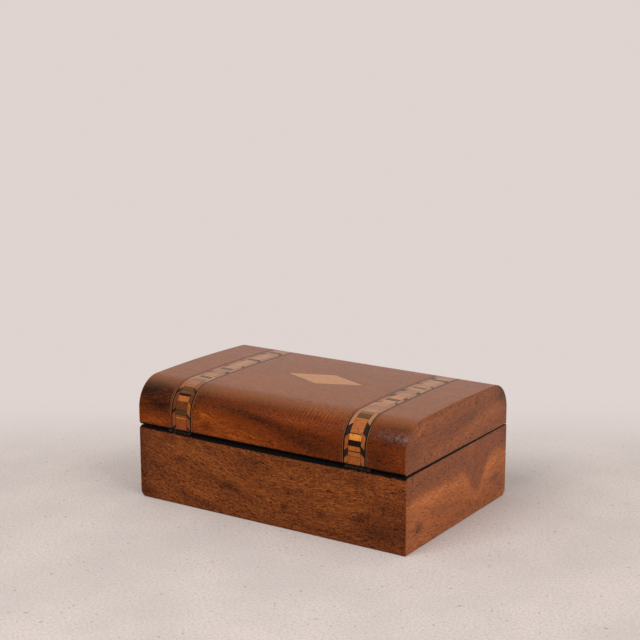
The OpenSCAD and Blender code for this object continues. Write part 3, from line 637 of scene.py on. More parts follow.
SIDE_WALNUT = veneer_material(
    "Walnut, hinge side", (0.018, 0.005, 0.0025), (0.145, 0.034, 0.0068),
    (0.36, 0.105, 0.019), contrast=0.85, pores=1.0, specular=0.08,
    cracks=((102.5, 60.0, 66.0, 0.7), (-66.5, 51.0, 56.0, 0.5), (126.0, 60.0, 67.0, 0.5)))
END_WALNUT = veneer_material(
    "Walnut, right end of base", (0.075, 0.022, 0.008), (0.29, 0.075, 0.017),
    (0.58, 0.175, 0.034), contrast=0.7, pores=0.9, specular=0.2,
    cracks=((-81.5, 59.0, 68.5, 1.7),))
LID_END_WALNUT = veneer_material(
    "Walnut, ends of lid", (0.06, 0.018, 0.007), (0.235, 0.062, 0.016),
    (0.45, 0.135, 0.031), contrast=0.75, pores=0.9, specular=0.2,
    cracks=((-70.5, 103.0, 112.0, 1.1),))
LID_WALNUT = veneer_material(
    "Walnut, lid", (0.018, 0.006, 0.003), (0.165, 0.030, 0.0035), (0.42, 0.099, 0.008),
    contrast=0.55, pores=0.6, specular=0.05, coat=0.35)
PLAIN_WALNUT = veneer_material(
    "Walnut, lock side and left end", (0.03, 0.009, 0.004), (0.19, 0.05, 0.014),
    (0.40, 0.125, 0.032), contrast=0.9, pores=0.9, specular=0.15)

CARCASS = (0.045, 0.017, 0.008), (0.17, 0.06, 0.022), (0.30, 0.12, 0.045)
PINE = (0.16, 0.075, 0.03), (0.42, 0.24, 0.11), (0.60, 0.38, 0.19)
BACK_BOARD_WOOD = carcass_material("Carcass, hinge side", (0, 2, 1), 11.0, CARCASS,
                                   blacked=1.0, specular=0.03)
BACK_RAIL_WOOD = carcass_material("Carcass, hinge side of lid", (0, 2, 1), 12.0, CARCASS,
                                  blacked=-1.0, specular=0.03)
LONG_WOOD = carcass_material("Carcass, along the box", (0, 2, 1), 13.0, CARCASS)
CROSS_WOOD = carcass_material("Carcass, across the box", (1, 2, 0), 14.0, CARCASS)
BOTTOM_WOOD = carcass_material("Pine, bottom", (0, 1, 2), 15.0, PINE)
TOP_WOOD = carcass_material("Pine, top", (0, 1, 2), 16.0, PINE)

SATINWOOD = inlay_material("Satinwood blocks", 0.85, 0.9, 0.24, 0.45)
EBONY = inlay_material("Ebony blocks", 0.2, 0.35, 0.26, 0.12, specular=0.05)
BOXWOOD = inlay_material("Boxwood lines", 0.2, 0.3, 0.28, 0.1)
MAPLE = inlay_material("Maple lozenge", 0.5, 0.4, 0.3, 0.0)
LINE_WOOD = inlay_material("Dark wood line", 0.3, 0.3, 0.3, 0.0)

BARREL_Y = -88.0      # the hinges' barrels begin here
BRASS = metal_material("Aged brass", (0.55, 0.38, 0.16), (0.16, 0.10, 0.045))
HINGE_BRASS = metal_material("Hinge brass, blackened barrel", (0.44, 0.34, 0.20),
                             (0.15, 0.095, 0.045), darkened_from=BARREL_Y)
STEEL = metal_material("Aged steel", (0.36, 0.34, 0.32), (0.11, 0.08, 0.06))
LINING = lining_material("Lining paper")


# ==== veneers of the base ====

WORN_R, WORN_IN = 11.66, 8.0
SIDE_ARRIS, LOW_ARRIS, TOP_ARRIS, BOARD_ARRIS = 0.55, 0.5, 0.25, 0.4


def worn_corners(points, inset=0.0):
    """Points of the base's lower corners that stand outside a ball, whose middle lies as far
    in from all three faces, are drawn back onto it. The right corner of the hinge side is
    still crisp."""
    x, y, z = np.moveaxis(points, -1, 0)
    long, wide = HALF_L - WORN_IN, HALF_W - WORN_IN
    middle = triple(np.sign(x) * long, np.sign(y) * wide, WORN_IN)
    away = points - middle
    reach = (WORN_R - inset) / np.maximum(np.linalg.norm(away, axis=-1), 1e-6)
    corner = (np.abs(x) > long) & (np.abs(y) > wide) & (z < WORN_IN) & ((x < 0) | (y > 0))
    return middle + away * np.where(corner, np.minimum(1.0, reach), 1.0)[..., None]


def from_ends(half, *steps):
    """Grid lines at these steps in from both ends of a side."""
    return tuple(side * (half - step) for side in (-1, 1) for step in steps)


def blacking_line(x):
    """Lower border of the groove's black paint on the hinge side: it sags in the middle."""
    return RIM_Z - CHAMFER - 0.1 - 0.5 * np.exp(-(x / 75.0) ** 4)


def parting_shade(u):
    """How far painted shade reaches from the parting line on an end, darkening it as the gap's
    shadow would: less near the lock side.
    """
    return 0.6 - 0.25 * step_down(-u, -60.0, 8.0)


def upright(us, low, top, parts, radii, seed):
    """Grid (u, z) from one border to another by parts of the height, and the depth of its
    face under its plane, where its edges are rounded and the rest is slightly uneven."""
    u, part = np.meshgrid(us, parts, indexing="ij")
    low, top = (np.broadcast_to(border, us.shape)[:, None] for border in (low, top))
    z = low + part * (top - low)
    drop = rounding(u, z, low, top, radii) + 0.08 * waves(u, z, seed, 60.0)
    return u, z, part, top, drop


def leaf_fields(u, v, across, seed, **rest):
    """The values that a leaf carries: its grain's axes, its place, and the rest. It has no
    ripple unless one is given."""
    return {"leaf": triple(u, across, seed), "place": triple(u, v, seed), "ripple": 0 * u,
            **rest}


def base_veneer(name, node, face, flow, tone, material, seed):
    """One side's veneer: a slab over (u, z), with u along the side. Its free arrises are
    rounded, its face is slightly uneven, and its lower corners are worn. On an end its top
    falls along the groove's chamfer."""
    on_end, hinge = face in ("left", "right"), face == "hinge"
    side = -1 if face in ("left", "hinge") else 1
    half, arris = (HALF_W - VENEER, 0.0) if on_end else (HALF_L, SIDE_ARRIS)
    stops = from_ends(HALF_W, CHAMFER, 7.0) if on_end else from_ends(HALF_L, 7.0)
    us = lines(-half, half, 2.0, arris, arris, stops)
    top = np.minimum(RIM_Z, CHAMFER_PLANE + us) if on_end else RIM_Z - CHAMFER * hinge
    parts = lines(0.0, 1.0, 0.03, extra=(0.012, 0.05, 0.09, 0.93))
    u, z, part, top, drop = upright(us, VENEER_LOW, top, parts,
                                    (arris, arris, LOW_ARRIS, TOP_ARRIS), seed)

    def placed(depth, height):
        return triple(side * (HALF_L - depth), u, height) if on_end else \
            triple(u, side * (HALF_W - depth), height)
    # On an end the blacking along the top is painted shade by the parting line; on the hinge
    # side it is the groove's black paint.
    fields = leaf_fields(
        u, z, flow(u, z), seed, tone=tone(u, z),
        rim=least(FAR if on_end else half - np.abs(u), z - VENEER_LOW, FAR),
        blacking=z - (blacking_line(u) if hinge else top - parting_shade(u)))
    # Behind the groove the veneer's back reaches up along the chamfer.
    shape = slab(worn_corners(placed(drop, z)),
                 worn_corners(placed(VENEER, z + VENEER * hinge * (part >= 1)), VENEER), fields)
    make_piece(name, node, "base", material, shape)


def hinge_side_flow(u, v):
    """Grain on the hinge side: it slopes down to the right on the left half and runs level
    on the right, so v is raised by the slope times the way from the middle."""
    return v + 0.27 * step_down(u, -5.0, 22.0) * (u + 5.0) + 1.5 * np.sin(u / 24.0)


HINGE_SIDE_SPOTS = (
    (-140, 34, 8, 60, 0, -0.26), (-122, 30, 12, 7, 0, -0.14), (-106, 61, 9, 3, 0, -0.24),
    (-94, 43, 5, 2.2, 0, -0.34), (-116, 22, 8, 4, 0, -0.16), (-41, 28, 6, 3.0, -20, -0.36),
    (-29, 24, 16, 2.4, -28, -0.26), (-14, 53, 17, 7, -6, -0.10), (-56, 32, 14, 2, -24, -0.20),
    (19, 20, 4, 2, 30, -0.42), (30, 37, 12, 2, 4, -0.20), (57, 20, 3, 1.8, 0, -0.40),
    (94, 58, 7, 4, 0, -0.26), (118, 16, 24, 10, 4, -0.34), (98, 26, 9, 4, 10, -0.22),
    (125, 38, 14, 7, 10, -0.18), (60, 6, 34, 1.6, -2, -0.30), (-131, 6, 12, 6, 0, -0.24),
    (8, 66, 60, 3, 0, -0.08), (140, 30, 6, 40, 0, -0.12), (-74, 8, 22, 3, -8, -0.18),
    (-74, 50, 26, 8, -10, 0.14), (62, 44, 36, 6, 4, 0.17), (-44, 38, 14, 4, -14, 0.15),
    (84, 30, 26, 5, 6, 0.12), (-70, 16, 18, 5, -14, 0.14), (-100, 52, 14, 4, -8, 0.12),
    (20, 48, 18, 5, 0, 0.08), (128, 62, 10, 5, 0, 0.12), (0, 26, 20, 4, -30, 0.12))
END_SPOTS = (
    (-71, 18, 5.5, 4.5, 0, -0.52), (70, 23, 9, 4, 10, -0.30), (80, 15, 9, 5, 0, -0.20),
    (34, 40, 6, 14, 0, 0.05), (31, 50, 2.4, 13, 0, -0.12), (-20, 22, 30, 5, -8, -0.12),
    (20, 8, 60, 6, 0, -0.16), (-88, 30, 5, 40, 0, -0.10), (24, 62, 8, 8, 0, 0.14),
    (62, 38, 16, 7, 30, 0.14), (-50, 40, 34, 6, 0, 0.12), (-80, 62, 18, 4, 0, 0.06),
    (86, 56, 6, 20, 0, -0.10))


def hinge_side_tone(u, v):
    """The spots of the hinge side over faint clouds."""
    return 0.515 + 0.8 * spots(u, v, HINGE_SIDE_SPOTS) + 0.08 * (waves(u, v * 3, 3, 60) - 0.5)


def end_flow(u, v):
    """Grain on the right end: nearly level, drawn down into a feather near u = 34."""
    return v + 0.12 * u + 16.0 * bell(u, 34.0, 15.0)


def end_tone(u, v):
    """A mauve upper part comes down to a feathered point over a brighter orange one."""
    border = 46.0 - 25.0 * bell(u, 34.0, 15.0) + 3.5 * bell(u, 75.0, 14.0)
    glow = bell(v, border - 7.0, 7.0) * (v < border + 6)
    return 0.60 - 0.25 * step_down(-v, -border, 1.6) + 0.09 * glow + spots(u, v, END_SPOTS)


def plain_flow(u, v):
    """Grain on the two sides that carry plain veneer: it rises gently and sways."""
    return v + 0.06 * u + 2.0 * np.sin(u / 33.0)


def plain_tone(u, v):
    """Soft clouds, stretched along the side."""
    return 0.50 + 0.34 * (waves(u, v * 2.5, 8, 70) - 0.5)


base_veneer("veneer_hinge_side", "base_back_veneer", "hinge", hinge_side_flow,
            hinge_side_tone, SIDE_WALNUT, 3)
base_veneer("veneer_lock_side", "base_front_veneer", "lock", plain_flow, plain_tone,
            PLAIN_WALNUT, 5)
base_veneer("veneer_left_end", "base_left_veneer", "left", plain_flow, plain_tone,
            PLAIN_WALNUT, 7)
base_veneer("veneer_right_end", "base_right_veneer", "right", end_flow, end_tone,
            END_WALNUT, 9)


def make_bottom():
    """The bottom board: a slab over (x, y), its corners worn along with the veneer's."""
    xs, ys = (lines(VENEER - half, half - VENEER, 8.0, BOARD_ARRIS, BOARD_ARRIS,
                    from_ends(half, 4.0, 8.0)) for half in (HALF_L, HALF_W))
    x, y = np.meshgrid(xs, ys, indexing="ij")
    under = triple(x, y, rounding(x, y, ys[0], ys[-1], (BOARD_ARRIS,) * 4))
    shape = slab(worn_corners(under, VENEER), worn_corners(triple(x, y, BOTTOM_T), VENEER), {})
    make_piece("bottom_board", "base_bottom_board", "base", BOTTOM_WOOD, shape)


make_bottom()

# ==== veneers of the lid ====

LID_SPOTS = (
    (-124, 38, 24, 10, 0, -0.40), (-114, 22, 14, 6, 0, -0.38), (-134, 28, 8, 14, 0, -0.12),
    (-125, 6, 18, 5, 0, 0.24), (-40, 9, 52, 8, -1, 0.26), (-60, 19, 26, 5, 0, 0.16),
    (-66, 22, 8, 3, 0, 0.14), (-20, 27, 34, 3, -5, -0.20), (-30, 36, 50, 5, 0, -0.12),
    (10, 22, 24, 3, -8, -0.16), (40, 12, 26, 5, -12, -0.20), (52, 19, 22, 3, -10, -0.16),
    (25, 30, 40, 4, -6, 0.14), (-20, 3, 60, 3, -2, 0.10), (60, 40, 18, 9, 0, 0.12),
    (122, 32, 18, 12, 0, -0.16), (112, 12, 8, 8, 0, -0.12), (134, 12, 8, 10, 0, 0.08),
    (-62, 10, 5, 4, 0, -0.24), (-75, 44, 8, 10, 0, -0.12), (-40, 90, 60, 22, 0, 0.05),
    (40, 150, 70, 18, 0, -0.06))
# Ripple shows only on the hinge side's shoulder, right of the middle.
LID_RIPPLE = ((47, 44, 26, 13, 0, 0.85), (120, 44, 18, 12, 0, 0.15), (-20, 44, 30, 10, 0, 0.35))
# Where the shoulder on the hinge side still has its polish.
LID_GLINTS = ((136, 30, 6, 10, 0, 0.8), (121, 32, 14, 9, 0, 0.45), (60, 40, 30, 8, 0, 0.12),
              (-128, 38, 12, 8, 0, 0.2))
LID_END_SPOTS = (
    (-84, 84, 14, 14, 0, -0.16), (82, 98, 9, 7, -40, -0.42), (40, 84, 40, 5, 8, 0.22),
    (-30, 104, 50, 5, 0, 0.10), (0, 90, 40, 6, 4, -0.10), (70, 84, 16, 8, 0, 0.12),
    (-40, 76, 40, 4, 0, 0.08), (-66, 104, 12, 4, 20, 0.12))
ARRIS, JOINT = 0.5, 0.12      # rounding of a leaf's edge: outer, and beside a strap
S_EDGES = (0.25, 0.4)         # rounding at the chamfer, and at the edge of the lock side
S_LINES = lines(CHAMFER, S_END, 2.0, *S_EDGES, (S_SHOULDER, S_TOP, S_FRONT, S_FALL))


def lid_flow(u, s):
    """Grain over the lid: along the box, with a slow sway."""
    return s + 0.05 * u + 3.0 * np.sin(u / 41.0 + s / 70.0)


def lid_tone(u, s):
    """Darker down the face of the hinge side, a painted shade where it turns from the light,
    and darker along the right arris.
    """
    return (0.54 - 0.19 * step_down(s, 47.0, 4.0) + spots(u, s, LID_SPOTS)
            + 0.10 * (waves(u, s * 2, 21, 80) - 0.5) - 0.14 * (u == LID_HALF_L))


def on_lid(u, s, depth):
    """Points of the lid's wrap at (x, s), a depth under its face."""
    return triple(u, *section_point(s, depth))


def lid_patch(us, ss, rounds, seed):
    """Slab over (x, s): ss is one row per x, and the first column's back goes along the
    chamfer when it stands at the chamfer's edge."""
    u = np.repeat(us[:, None], ss.shape[1], 1)
    low, high = ss[:, :1], ss[:, -1:]
    drop = rounding(u, ss, low, high, rounds) + 0.07 * waves(u, ss, seed, 70.0)
    back = ss.copy()
    back[:, :1] = np.where(np.isclose(low, CHAMFER), CHAMFER - VENEER, low)
    fields = leaf_fields(
        u, ss, lid_flow(u, ss), seed, tone=lid_tone(u, ss), ripple=spots(u, ss, LID_RIPPLE),
        rim=least(FAR, u - us[0], us[-1] - u, np.maximum(S_END - ss, 0)),
        blacking=CHAMFER + 0.1 - ss, polish=spots(u, ss, LID_GLINTS))
    return slab(on_lid(u, ss, drop), on_lid(u, back, VENEER), fields)


def lid_side_veneer(name, node, x0, x1, rounds, seed):
    """A leaf beside a strap: every x takes the same lines round the section."""
    us = lines(x0, x1, 2.0, *rounds)
    ss = np.repeat(S_LINES[None, :], len(us), 0)
    make_piece(name, node, "lid", LID_WALNUT,
               lid_patch(us, ss, rounds + S_EDGES, seed))


def lozenge_half(x, margin):
    """Half the lozenge's width at x, grown by a margin measured square to its sides."""
    slope = LOZENGE_W / LOZENGE_L
    half_y = LOZENGE_W / 2 + margin * math.sqrt(1 + slope ** 2)
    return np.maximum(0.0, half_y - slope * np.abs(x - LOZENGE_X))


LINE_REACH = lozenge_half(LOZENGE_X, LOZENGE_LINE) * LOZENGE_L / LOZENGE_W
WINDOW_HALF = 22.0       # the grid bends toward the lozenge this far along the section


def lid_centre_veneer(name, node, x0, x1, seed):
    """The middle leaf, with a window for the lozenge: one slab before the window and one
    behind it, welded along the line where they meet beyond its tips."""
    us = lines(x0, x1, 2.0, JOINT, JOINT,
               (LOZENGE_X - LINE_REACH, LOZENGE_X, LOZENGE_X + LINE_REACH))
    half, s_mid = lozenge_half(us, LOZENGE_LINE), s_of_y(LOZENGE_Y)
    near, far = (s_of_y(LOZENGE_Y + side * half)[:, None] for side in (-1, 1))
    low = np.repeat(S_LINES[None, S_LINES < s_mid - WINDOW_HALF], len(us), 0)
    high = np.repeat(S_LINES[None, S_LINES > s_mid + WINDOW_HALF], len(us), 0)
    part = np.linspace(0, 1, 12)[None, :]
    before = np.concatenate([low, low[:, -1:] + part[:, 1:] * (near - low[:, -1:])], 1)
    behind = np.concatenate([far + part[:, :-1] * (high[:, :1] - far), high], 1)
    front, back = S_EDGES
    patches = [lid_patch(us, ss, (JOINT, JOINT) + ends, seed)
               for ss, ends in ((before, (front, 0.0)), (behind, (0.0, back)))]
    make_piece(name, node, "lid", LID_WALNUT, welded(*joined(patches)))


lid_side_veneer("lid_leaf_left", "lid_veneer_left", -LID_HALF_L, STRAP_X[0] - STRAP_HALF,
                (ARRIS, JOINT), 31)
lid_side_veneer("lid_leaf_right", "lid_veneer_right", STRAP_X[1] + STRAP_HALF, LID_HALF_L,
                (JOINT, ARRIS), 33)
lid_centre_veneer("lid_leaf_centre", "lid_veneer_centre", STRAP_X[0] + STRAP_HALF,
                  STRAP_X[1] - STRAP_HALF, 32)


def lid_end_veneer(name, node, side, seed):
    """End of the lid: a slab over (y, part of the height), whose upper border is the lid's
    section moved in by the thickness of the leaf that wraps over it."""
    turns = np.radians(np.linspace(0, 90, 19))
    bend = SHOULDER_Y + (SHOULDER_R - VENEER) * np.sin(turns)
    ys = np.concatenate([-bend[::-1], np.linspace(-SHOULDER_Y, SHOULDER_Y, 60)[1:-1], bend])

    def arc(which):
        _, _, mid_y, mid_z, radius = ARCS[which]
        return mid_z + np.sqrt(np.maximum(0, (radius - VENEER) ** 2 - (ys - mid_y) ** 2))
    top = np.where(ys < -SHOULDER_Y, arc(0), np.where(ys > SHOULDER_Y, arc(2), arc(1)))
    low = np.maximum(edge_z(ys), EDGE_BACK + CHAMFER - LID_HALF_W - ys)
    parts = lines(0.0, 1.0, 0.05, extra=(0.01, 0.03, 0.97, 0.99))
    y, z, _, _, drop = upright(ys, low, top, parts, (0.0, 0.0, S_EDGES[0], 0.15), seed)
    low = low[:, None]
    grain = z - 0.16 * y + 2.0 * np.sin(y / 30.0)
    # The blacking here is painted shade along the parting line.
    fields = leaf_fields(y, z, grain, seed, tone=0.48 + spots(y, z, LID_END_SPOTS),
                         rim=least(z - low, FAR), blacking=low - z + parting_shade(y))
    make_piece(name, node, "lid", LID_END_WALNUT,
               slab(triple(side * (LID_HALF_L - drop), y, z),
                    triple(side * (LID_HALF_L - VENEER), y, z), fields))


lid_end_veneer("lid_end_leaf_left", "lid_left_end_veneer", -1, 35)
lid_end_veneer("lid_end_leaf_right", "lid_right_end_veneer", 1, 36)


# ==== inlay ====

GOLD, ORANGE, RUST = (0.54, 0.19, 0.030), (0.34, 0.09, 0.015), (0.26, 0.060, 0.009)
BURR, MAUVE, TAN = (0.12, 0.033, 0.009), (0.22, 0.085, 0.045), (0.44, 0.175, 0.055)
BLACK, OLIVE, SLATE = (0.012, 0.006, 0.003), (0.070, 0.032, 0.010), (0.022, 0.010, 0.006)
PINKISH = (0.38, 0.16, 0.075)
LINE_DARK, LINE_PALE = (0.008, 0.004, 0.002), (0.23, 0.095, 0.035)
LOZENGE_TINT = (0.43, 0.19, 0.072)
BORDER_TINTS = {-1: (0.09, 0.032, 0.014), 1: (0.20, 0.08, 0.04)}

# Where the blocks of a strap's middle column start, wood by wood.
RIGHT_MIDDLE = {
    ORANGE: (2.3, 9.2, 13.8, 29, 188, 222, 242), BLACK: (13.3, 18.2, 205, 231.5),
    GOLD: (22.9, 199.5, 210.2, 236.4), RUST: (28.5,), OLIVE: (44.2, 92, 139, 173.2),
    BURR: (50.3, 216.5), TAN: (54.2, 78, 97.4, 132, 154, 178.6), MAUVE: (62.6, 120),
    PINKISH: (73, 84, 108, 142.6, 165.5)}
LEFT_MIDDLE = {
    RUST: (2.3, 13.8, 192, 240), GOLD: (12.6, 204),
    OLIVE: (16, 39.5, 66.2, 99, 140.5, 178, 209.5),
    BURR: (20.5, 36, 55, 215, 233.5), ORANGE: (28.2, 44, 221), BLACK: (34, 229),
    MAUVE: (46.8, 84.2, 170), PINKISH: (62, 104, 127, 149.5),
    TAN: (71, 74.2, 116.5, 145.8, 183)}
DARK_WOODS = (BLACK, OLIVE, SLATE)

# Middles of the dark blocks of the side columns, left and right, and their lengths. On the left
# strap the first pair also darkens the lower end, next to the groove.
RIGHT_DARKS = (
    ((11.6, 6), (31.6, 9.4), (84, 3), (108.5, 7), (127.5, 7), (155, 3), (180.5, 6.5),
     (205, 6), (229, 8.5)),
    ((14.6, 6.2), (34, 10.6), (86, 3), (102, 6), (124, 6), (149, 3), (175, 6.5),
     (198, 5.5), (222, 8.5)))
LEFT_DARKS = (
    ((3.4, 2.4), (19, 3), (39, 4), (87, 4), (112, 3), (137, 4), (171, 4), (196, 5), (220, 7)),
    ((3.4, 2.4), (15.5, 2.2), (40.5, 3), (90, 6), (115, 3), (140.5, 5), (176, 5), (200, 5),
     (224, 7)))
BLOCK_EDGE, BLOCK_DIRT = 0.08, 0.22      # a block's rounded edge, and its dirty border


def inlay_block(x0, x1, s0, s1, tint, seed, lean=0.0, along=True, gap=0.05):
    """One block: a slab over (x, s) whose ends lean along the strap by lean across its
    width. Its grain runs along the strap or across it."""
    near = gap + min(BLOCK_DIRT, (x1 - x0) / 4)
    us = lines(x0 + gap, x1 - gap, 4.0, BLOCK_EDGE, BLOCK_EDGE, (x0 + near, x1 - near))
    run = max(s1 - s0 - 2 * gap, 0.3)
    close = (BLOCK_EDGE / run, min(BLOCK_DIRT / run, 0.4))
    part = lines(0.0, 1.0, max(0.08, 1.6 / run), extra=close + tuple(1 - c for c in close))
    u, w = np.meshgrid(us, part, indexing="ij")
    tilt = lean * (u - (x0 + x1) / 2) / (x1 - x0)
    low = np.clip(s0 + gap + tilt, CHAMFER, S_END)
    high = np.clip(s1 - gap + tilt, CHAMFER + 0.01, S_END)
    s = low + w * (high - low)
    rng = np.random.default_rng(seed)
    drop = rounding(u, s, low, high, (BLOCK_EDGE,) * 4) + rng.uniform(0.0, 0.05)
    back = np.where((w <= 0) & (s < CHAMFER + 0.2), s - VENEER, s)
    long, across = (s, u) if along else (u, s)
    leaf = triple(long + rng.uniform(0, 500), across + rng.uniform(0, 500), seed)
    shade = np.array(tint) * rng.uniform(0.82, 1.12) * (1 + rng.uniform(-0.06, 0.06, 3))
    return slab(on_lid(u, s, drop), on_lid(u, back, VENEER),
                {"leaf": leaf, "tint": np.broadcast_to(shade, u.shape + (3,)),
                 "rim": least(u - us[0], us[-1] - u, s - low, high - s)})


def middle_blocks(x, middle, seed):
    """The middle column's blocks, light and dark; one in three has its grain across."""
    light, dark = [], []
    rows = sorted((start, wood) for wood, starts in middle.items() for start in starts)
    ends = [start for start, _ in rows[1:]] + [S_END]
    for k, ((start, wood), end) in enumerate(zip(rows, ends)):
        group = dark if wood in DARK_WOODS else light
        group.append(inlay_block(x - MIDDLE_HALF, x + MIDDLE_HALF, start, end, wood, seed + k,
                                 along=k % 3 != 1))
    return light, dark


def side_blocks(x, columns, light_woods, seed):
    """The side columns: dark blocks at their places and light ones between, cut to about 13
    mm. Their ends lean so that the inner end lies further along the strap."""
    light, dark = [], []
    for side, rows, woods in zip((-1, 1), columns, light_woods):
        column = sorted((x + side * MIDDLE_HALF, x + side * BLOCKS_HALF))
        lean, start = -side * SLANT, CHAMFER
        stops = [(middle - length / 2, middle + length / 2) for middle, length in rows]
        for k, (low, high) in enumerate(stops + [(S_END, S_END)]):
            cuts = max(1, int(round((low - start) / 13.0)))
            for j in range(cuts):
                ends = (start + (low - start) * end / cuts for end in (j, j + 1))
                light.append(inlay_block(*column, *ends, woods[(k + j) % len(woods)],
                                         seed + 40 * k + 7 * j + side, lean))
            if high > low:
                dark.append(inlay_block(*column, low, high, SLATE, seed + 900 + 10 * k + side,
                                        lean))
            start = high
    return light, dark


def line_blocks(x, near, width, tint, seed):
    """A line of the strap on both sides, laid in four lengths with hairline joints."""
    ends = [CHAMFER + (S_END - CHAMFER) * k / 4 for k in range(5)]
    return [inlay_block(*sorted((x + side * near, x + side * (near + width))), ends[k],
                        ends[k + 1], tint, seed + 10 * k + side, gap=0.03)
            for side in (-1, 1) for k in range(4)]


def make_strap(side, x, middle, columns, light_woods, seed):
    """One strap's six pieces, out of its middle column, its side columns and its lines."""
    light, dark = middle_blocks(x, middle, seed)
    side_light, side_dark = side_blocks(x, columns, light_woods, seed + 300)
    near = BLOCKS_HALF + DARK_LINE
    pale = line_blocks(x, near, LIGHT_LINE, LINE_PALE, seed + 600)
    black = (line_blocks(x, BLOCKS_HALF, DARK_LINE, LINE_DARK, seed + 700)
             + line_blocks(x, near + LIGHT_LINE, THIN_LINE, BLACK, seed + 800))
    for name, node, slot, wood, blocks in (
            ("light_blocks", "light_middle", "satinwood", SATINWOOD, light),
            ("bars", "dark_bars", "ebony", EBONY, dark),
            ("side_blocks", "light_sides", "satinwood", SATINWOOD, side_light),
            ("side_darks", "dark_sides", "ebony", EBONY, side_dark),
            ("pale_lines", "light_lines", "boxwood", BOXWOOD, pale),
            ("black_lines", "dark_lines", "ebony", EBONY, black)):
        make_piece(side + "_strap_" + name, side + "_strap_" + node, "lid", wood,
                   joined(blocks))


make_strap("left", STRAP_X[0], LEFT_MIDDLE, LEFT_DARKS,
           ((RUST, RUST, BURR, RUST, TAN), (RUST, RUST, ORANGE, BURR, TAN)), 1000)
make_strap("right", STRAP_X[1], RIGHT_MIDDLE, RIGHT_DARKS,
           ((ORANGE, RUST, TAN), (ORANGE, ORANGE, TAN)), 3000)


def lozenge_slab(reach, low_half, high_half, side, tint, seed, edge):
    """A slab over (x, part) between two curves on one side of the lozenge's middle line,
    or on both."""
    us = lines(LOZENGE_X - reach, LOZENGE_X + reach, 2.5, extra=(LOZENGE_X,))
    part = lines(0.0, 1.0, 0.1, extra=(0.004, 0.02, 0.98, 0.996))
    u, w = np.meshgrid(us, part, indexing="ij")
    low, width = low_half(u), high_half(u) - low_half(u)
    y = LOZENGE_Y + side * (low + w * width)
    drop = 0.05 + rounding(u, w * width, 0.0, width, (0.0, 0.0, edge, edge))
    return slab(on_lid(u, s_of_y(y), drop), on_lid(u, s_of_y(y), VENEER),
                {"leaf": triple(u, y, seed), "rim": least(w, 1 - w) * width * 1.4,
                 "tint": np.broadcast_to(tint, u.shape + (3,))})


def make_lozenge():
    """The pale lozenge, and the line round it in two halves that meet at its tips."""
    def inside(x):
        return np.maximum(0.08, lozenge_half(x, -0.04))

    def outside(x):
        return np.maximum(0.01, lozenge_half(x, LOZENGE_LINE) - 0.04)
    body = lozenge_slab(LOZENGE_L / 2 - 0.2, lambda x: -inside(x), inside, 1, LOZENGE_TINT, 51,
                        0.1)
    border = [lozenge_slab(LINE_REACH - 0.1, lambda x: lozenge_half(x, 0.0), outside, side,
                           tint, 52 + side, 0.05) for side, tint in BORDER_TINTS.items()]
    make_piece("lozenge_leaf", "lozenge", "lid", MAPLE, body)
    make_piece("lozenge_border", "lozenge_line", "lid", LINE_WOOD,
               joined(border))


make_lozenge()


# ==== finishes of the carried-over parts ====

FINISHES = {
    BACK_BOARD_WOOD: "base_back_board",
    BACK_RAIL_WOOD: "lid_back_rail",
    LONG_WOOD: "base_front_board lid_front_rail",
    CROSS_WOOD: "base_left_board base_right_board lid_left_end lid_right_end",
    TOP_WOOD: "lid_top_board",
    LINING: "base_wall_lining base_floor_lining lid_wall_lining lid_top_lining",
    HINGE_BRASS: "left_hinge_base_leaf left_hinge_lid_leaf left_hinge_pin right_hinge_pin "
                 "right_hinge_base_leaf right_hinge_lid_leaf hinge_base_screws "
                 "hinge_lid_screws",
    BRASS: "lock_case lock_selvedge lock_bolt escutcheon link_plate",
    STEEL: "lock_spring lock_key_pin lock_screws link_plate_screws",
}
for finish, names in FINISHES.items():
    for name in names.split():
        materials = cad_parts[name].data.materials
        if not materials:
            materials.append(finish)
        for k in range(len(materials)):
            materials[k] = finish


# ==== floor, light and camera ====

BACKDROP = (-0.5414, 0.8408, 0.0)      # level, from the box away from the camera
AMBIENT = 0.72                         # strength of the room's light on the box
LAMP_FAR = 2.2                         # metres from the box's middle
EYE = (0.7302, -1.1303, 0.4761)        # where the camera stands
EYE_AZIMUTH, EYE_ELEVATION, EYE_ROLL = 32.98, 13.0, -0.08
SENSOR, FOCAL, PICTURE = 36.0, 1538.0, 640.0      # millimetres, and two in picture points


